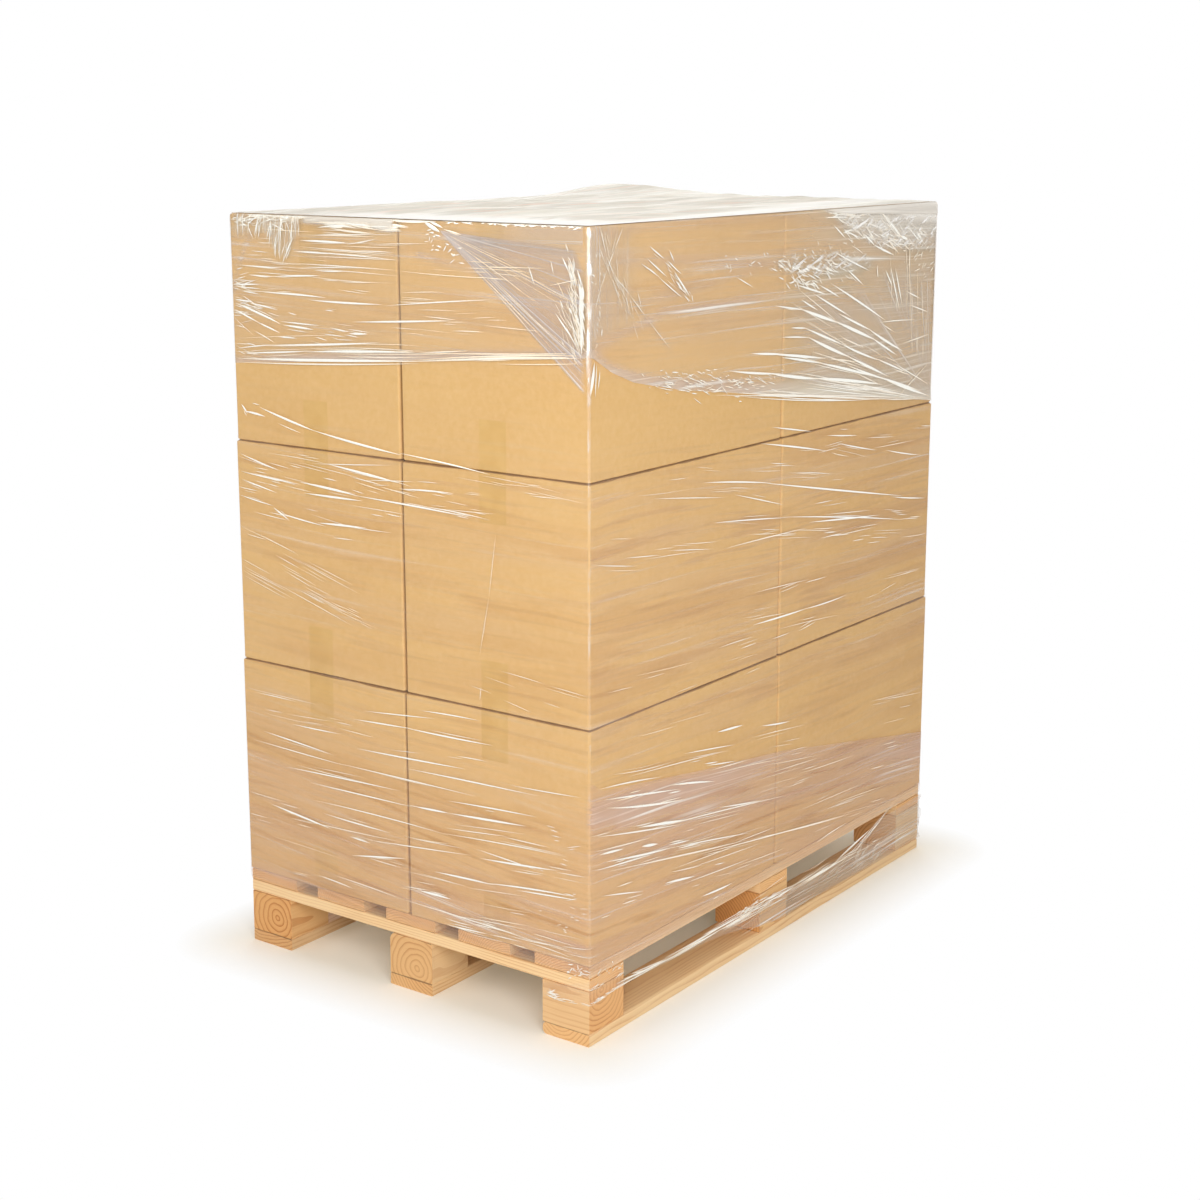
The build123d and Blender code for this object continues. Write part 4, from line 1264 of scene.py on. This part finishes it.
def back_pleats(material):
    """The far end and the left side, wound like the two sides that the picture shows."""
    p = Pleats(25)
    for face in ("far", "left"):
        width = FACE_WIDTH[face]
        p.field(face, (10, width - 10), (1140, 1380), 44, -0.02, 0.06, (40, 300), (0.9, 3.4), (0.3, 1.0))
        p.field(face, (10, width - 10), (600, 980), 40, -0.08, 0.06, (40, 280), (0.9, 3.0), (0.3, 0.9))
        p.field(face, (10, width - 10), (150, 540), 66, -0.06, 0.05, (40, 320), (0.9, 3.0), (0.3, 0.95))
        p.glints(face, [(20, 1386), (width - 20, 1386)], 3, 90, (8, 60), 0.12, (1.4, 4.0), (0.4, 1.0), 0.0)
    for face, apex, targets, count, thickest in (
        ("left", (1195, 1117), [(600, 1380), (900, 1385), (1150, 1385)], 26, 2.6),
        ("left", (8, 1040), [(420, 1330), (620, 1240), (700, 1150)], 30, 2.8),
        ("far", (6, 979), [(420, 1330), (250, 1360), (100, 1380)], 24, 2.4),
        ("far", (794, 1040), [(380, 1300), (500, 1380), (700, 1385)], 20, 2.4),
    ):
        p.fan(face, apex, targets, count, (0.8, thickest), (0.2, 0.9))
    p.make("film_pleats_back", material)


# The gathered start of the film on the right side of the pallet, as places and heights: the upper
# edge, along which it is twisted into a rope, and the lower edge of what hangs from it.
ROPE = [(34, 83), (69, 91), (95, 92), (204, 81), (472, 79), (636, 75), (842, 79), (924, 70), (971, 101),
        (1013, 119), (1090, 136)]
TAIL_HIGH = [(70, 94), (204, 83), (472, 86), (642, 82), (842, 82), (924, 76), (971, 101), (1013, 119),
             (1198, 124)]
TAIL_LOW = [(70, 84), (204, 77), (353, 70), (404, 65), (472, 54), (537, 39), (642, 26), (734, 30), (855, 27),
            (1198, 24)]
# Just under the deck, where the film's start is tucked in.
DECK_FOOT = 121
# How far the tail's loop and ends, and its rope, stand out, and how many strands the rope has.
TAIL_LIFT = 1.4
ROPE_LIFT = 4.0
ROPE_STRANDS = 90


def make_tail(material):
    """The film's start: looped round the near right block, roped, then spread over the far one."""
    spread = film("film_tail_spread", -0.02, 14.0, even=0.2, band=0.16, line=0.5, grain=0.32,
                  tint=colour(218, 206, 190), fine=1.3)
    loop = film("film_tail_loop", 0.0, 17.0, even=0.08, band=0.12, line=0.45, tint=colour(240, 226, 212),
                fine=1.3)
    tail = patch("film_tail_sheet", "right", TAIL_LOW, TAIL_HIGH, 1.5, spread, 41, relief=5.0,
                 fade=(10, 0, 3, 2))
    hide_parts("film_tail")
    patch("film_tail_loop", "right", [(0, 78), (14, 80), (44, 84), (71, 83), (99, 81)], DECK_FOOT, TAIL_LIFT,
          loop, 42, relief=1.0, fade=(0, 8, 2, 0))
    patch("film_tail_near", "near", [(700, 69), (740, 75), (776, 75), (800, 78)],
          [(700, 98), (740, 104), (800, DECK_FOOT)], TAIL_LIFT, loop, 43, relief=1.0, fade=(6, 0, 2, 6))
    patch("film_tail_far", "far", [(0, 26), (300, 60), (800, 112)], DECK_FOOT, TAIL_LIFT, spread, 44,
          relief=2.5, fade=(0, 40, 4, 0))
    p = Pleats(51)
    places, heights = np.array(ROPE, float).T
    r = p.random
    for _ in range(ROPE_STRANDS):
        middle = r.uniform(60, 1000)
        half = r.uniform(20, 90)
        thick = 2.0 + 4.0 * math.exp(-((middle - 520) / 150) ** 2)
        shift = r.normal(0, thick)
        ends = [middle - half, middle + half]
        tops = np.interp(ends, places, heights) + shift + r.normal(0, 1.5, 2)
        width, shine, bow = r.uniform(1.0, 2.8), r.uniform(0.5, 1.0), r.normal(0, 0.006)
        p.line((RIGHT + ends[0], tops[0]), (RIGHT + ends[1], tops[1]), width, shine, bow, ROPE_LIFT)
    for row in (
        ([(470, 84), (600, 84)], 4, 36, (10, 40), 0.08, (1.2, 3.0), (0.7, 1.0), 0.0),
        ([(900, 60), (1030, 38)], 14, 34, (8, 40), 0.4, (0.9, 2.2), (0.4, 1.0), 0.5),
        ([(700, 70), (860, 60)], 8, 26, (10, 50), 0.1, (0.8, 2.0), (0.3, 0.9), 0.1),
        ([(500, 70), (1150, 50)], 14, 40, (30, 110), 0.05, (0.8, 1.8), (0.2, 0.6), 0.03),
        ([(0, 80), (90, 83)], 2, 16, (8, 30), 0.15, (1.0, 2.4), (0.5, 1.0), 0.05),
        ([(5, 106), (90, 104)], 2, 10, (8, 26), 0.2, (1.0, 2.0), (0.4, 0.9), 0.05),
        ([(10, 128), (90, 118)], 5, 14, (4, 14), 0.6, (1.0, 2.2), (0.5, 1.0), 0.3),
    ):
        p.glints("right", *row)
    for row in (
        ([(722, 77), (730, 78)], 4.5, 16, (8, 22), 0.35, (0.9, 2.2), (0.8, 1.0), -0.05),
        ([(735, 74), (800, 77)], 1.5, 10, (12, 34), 0.1, (0.8, 1.8), (0.3, 0.8), 0.05),
        ([(760, 132), (798, 138)], 5, 22, (4, 14), 0.7, (1.2, 2.6), (0.6, 1.0), 0.5),
    ):
        p.glints("near", *row)
    p.make("film_tail_strands", material)


def make_pleats():
    material = pleat_material()
    near_upper_pleats(material)
    flap_pleats(material)
    near_lower_pleats(material)
    gusset_pleats(material)
    right_upper_pleats(material)
    right_lower_pleats(material)
    back_pleats(material)
    make_tail(material)


def declare_film():
    """Works out how tall the two windings are round the load, and does nothing with it. All other film pieces
    are folds and rims on a sheet.
    """

    along = np.linspace(0, ROUND, 200)
    upper = LOAD_TOP - UPPER_EDGE(along)
    lower = LOWER_EDGE(along) - DECK_UNDER


FLOOR_HALF = 14.0
# The floor's warm tone partly stands in for warm light bounced into its shadow from the wood and board.
FLOOR_TONE = (0.9, 0.88, 0.83, 1)
BOUNCE_TONE = (0.87, 0.86, 0.83, 1)
# The next colour is a painted warm glow, added to the floor's shadow by the pallet in place of light bounced
# from it.
PAINTED_SHADOW_GLOW = (1, 0.9, 0.62, 1)
WHITE = (1, 1, 1, 1)
# Past this distance from the pallet the floor is white.
SHADOW_REACH = 0.15


def make_stage():
    """A pale floor that reads as white and keeps the load's soft shadow, which a painted warm glow lifts."""
    mesh = bpy.data.meshes.new("floor")
    corners = [(x * FLOOR_HALF, y * FLOOR_HALF, 0) for x, y in ((-1, -1), (1, -1), (1, 1), (-1, 1))]
    mesh.from_pydata(corners, [], [(0, 1, 2, 3)])
    floor = bpy.data.objects.new("floor", mesh)
    bpy.context.scene.collection.objects.link(floor)
    s = Shader("floor_white")
    surface = s.shader("BsdfDiffuse", FLOOR_TONE)
    # Painted glow that lifts the floor's shadow by the pallet.
    lift = s.shader("Emission", PAINTED_SHADOW_GLOW, 0.13)
    shaded = s.add("ShaderNodeAddShader", {0: surface, 1: lift}).outputs[0]
    parts = s.parts(s.place())
    beside, before = (s.math("MAXIMUM", s.math("SUBTRACT", s.math("ABSOLUTE", part), half * MM), 0.0)
                      for part, half in ((parts[0], HALF_X), (parts[1], HALF_Y)))
    away = s.spread(s.vector("LENGTH", s.join(beside, before)), 0.0, SHADOW_REACH)
    shown = s.blend(away, shaded, s.shader("Emission", WHITE, 1.0))
    mesh.materials.append(s.end(s.blend(s.seen(), s.shader("BsdfDiffuse", BOUNCE_TONE), shown)))


def area_light(name, place, target, size, power):
    data = bpy.data.lights.new(name, "AREA")
    data.shape = "RECTANGLE"
    data.size, data.size_y = size
    data.energy = power
    lamp = bpy.data.objects.new(name, data)
    lamp.location = place
    lamp.rotation_euler = (Vector(target) - Vector(place)).to_track_quat("-Z", "Y").to_euler()
    bpy.context.scene.collection.objects.link(lamp)


STUDIO_TONE = (1.0, 0.99, 0.97, 1)
STUDIO_STRENGTH = 0.36


def make_lights():
    """Four soft lamps in an even studio, which reads as white where it is seen or mirrored."""
    s = Shader("studio", "worlds")
    bpy.context.scene.world = s.owner
    even = s.shader("Background", STUDIO_TONE, STUDIO_STRENGTH)
    s.end(s.blend(s.seen(), even, s.shader("Background", WHITE, 1.0)), "World")
    area_light("key", (2.9, -3.2, 2.2), (0.2, -0.5, 0.7), (2.4, 2.4), 111)
    area_light("fill", (-1.6, -4.0, 2.6), (0, -0.4, 0.7), (2.2, 2.2), 20)
    area_light("back", (-2.6, 3.4, 2.0), (-0.2, 0.3, 0.6), (2.4, 1.6), 44)
    area_light("overhead", (0.3, 0.2, 4.6), (0, 0, 0.7), (3.0, 3.0), 42)


def make_camera():
    data = bpy.data.cameras.new("camera")
    data.sensor_width = SENSOR
    data.lens = FOCAL_PIXELS / PHOTO * SENSOR
    data.shift_y = CAMERA_SHIFT
    camera = bpy.data.objects.new("camera", data)
    camera.location = CAMERA_PLACE
    camera.rotation_euler = (math.radians(90 - CAMERA_PITCH), 0, math.radians(CAMERA_PAN))
    bpy.context.scene.collection.objects.link(camera)
    bpy.context.scene.camera = camera


make_camera()
make_stage()
make_lights()
dress_pallet()
dress_cartons()
make_windings()
make_fans()
make_crumples()
make_edges()
make_top()
make_pleats()
declare_film()

bpy.context.scene.view_settings.view_transform = "Standard"
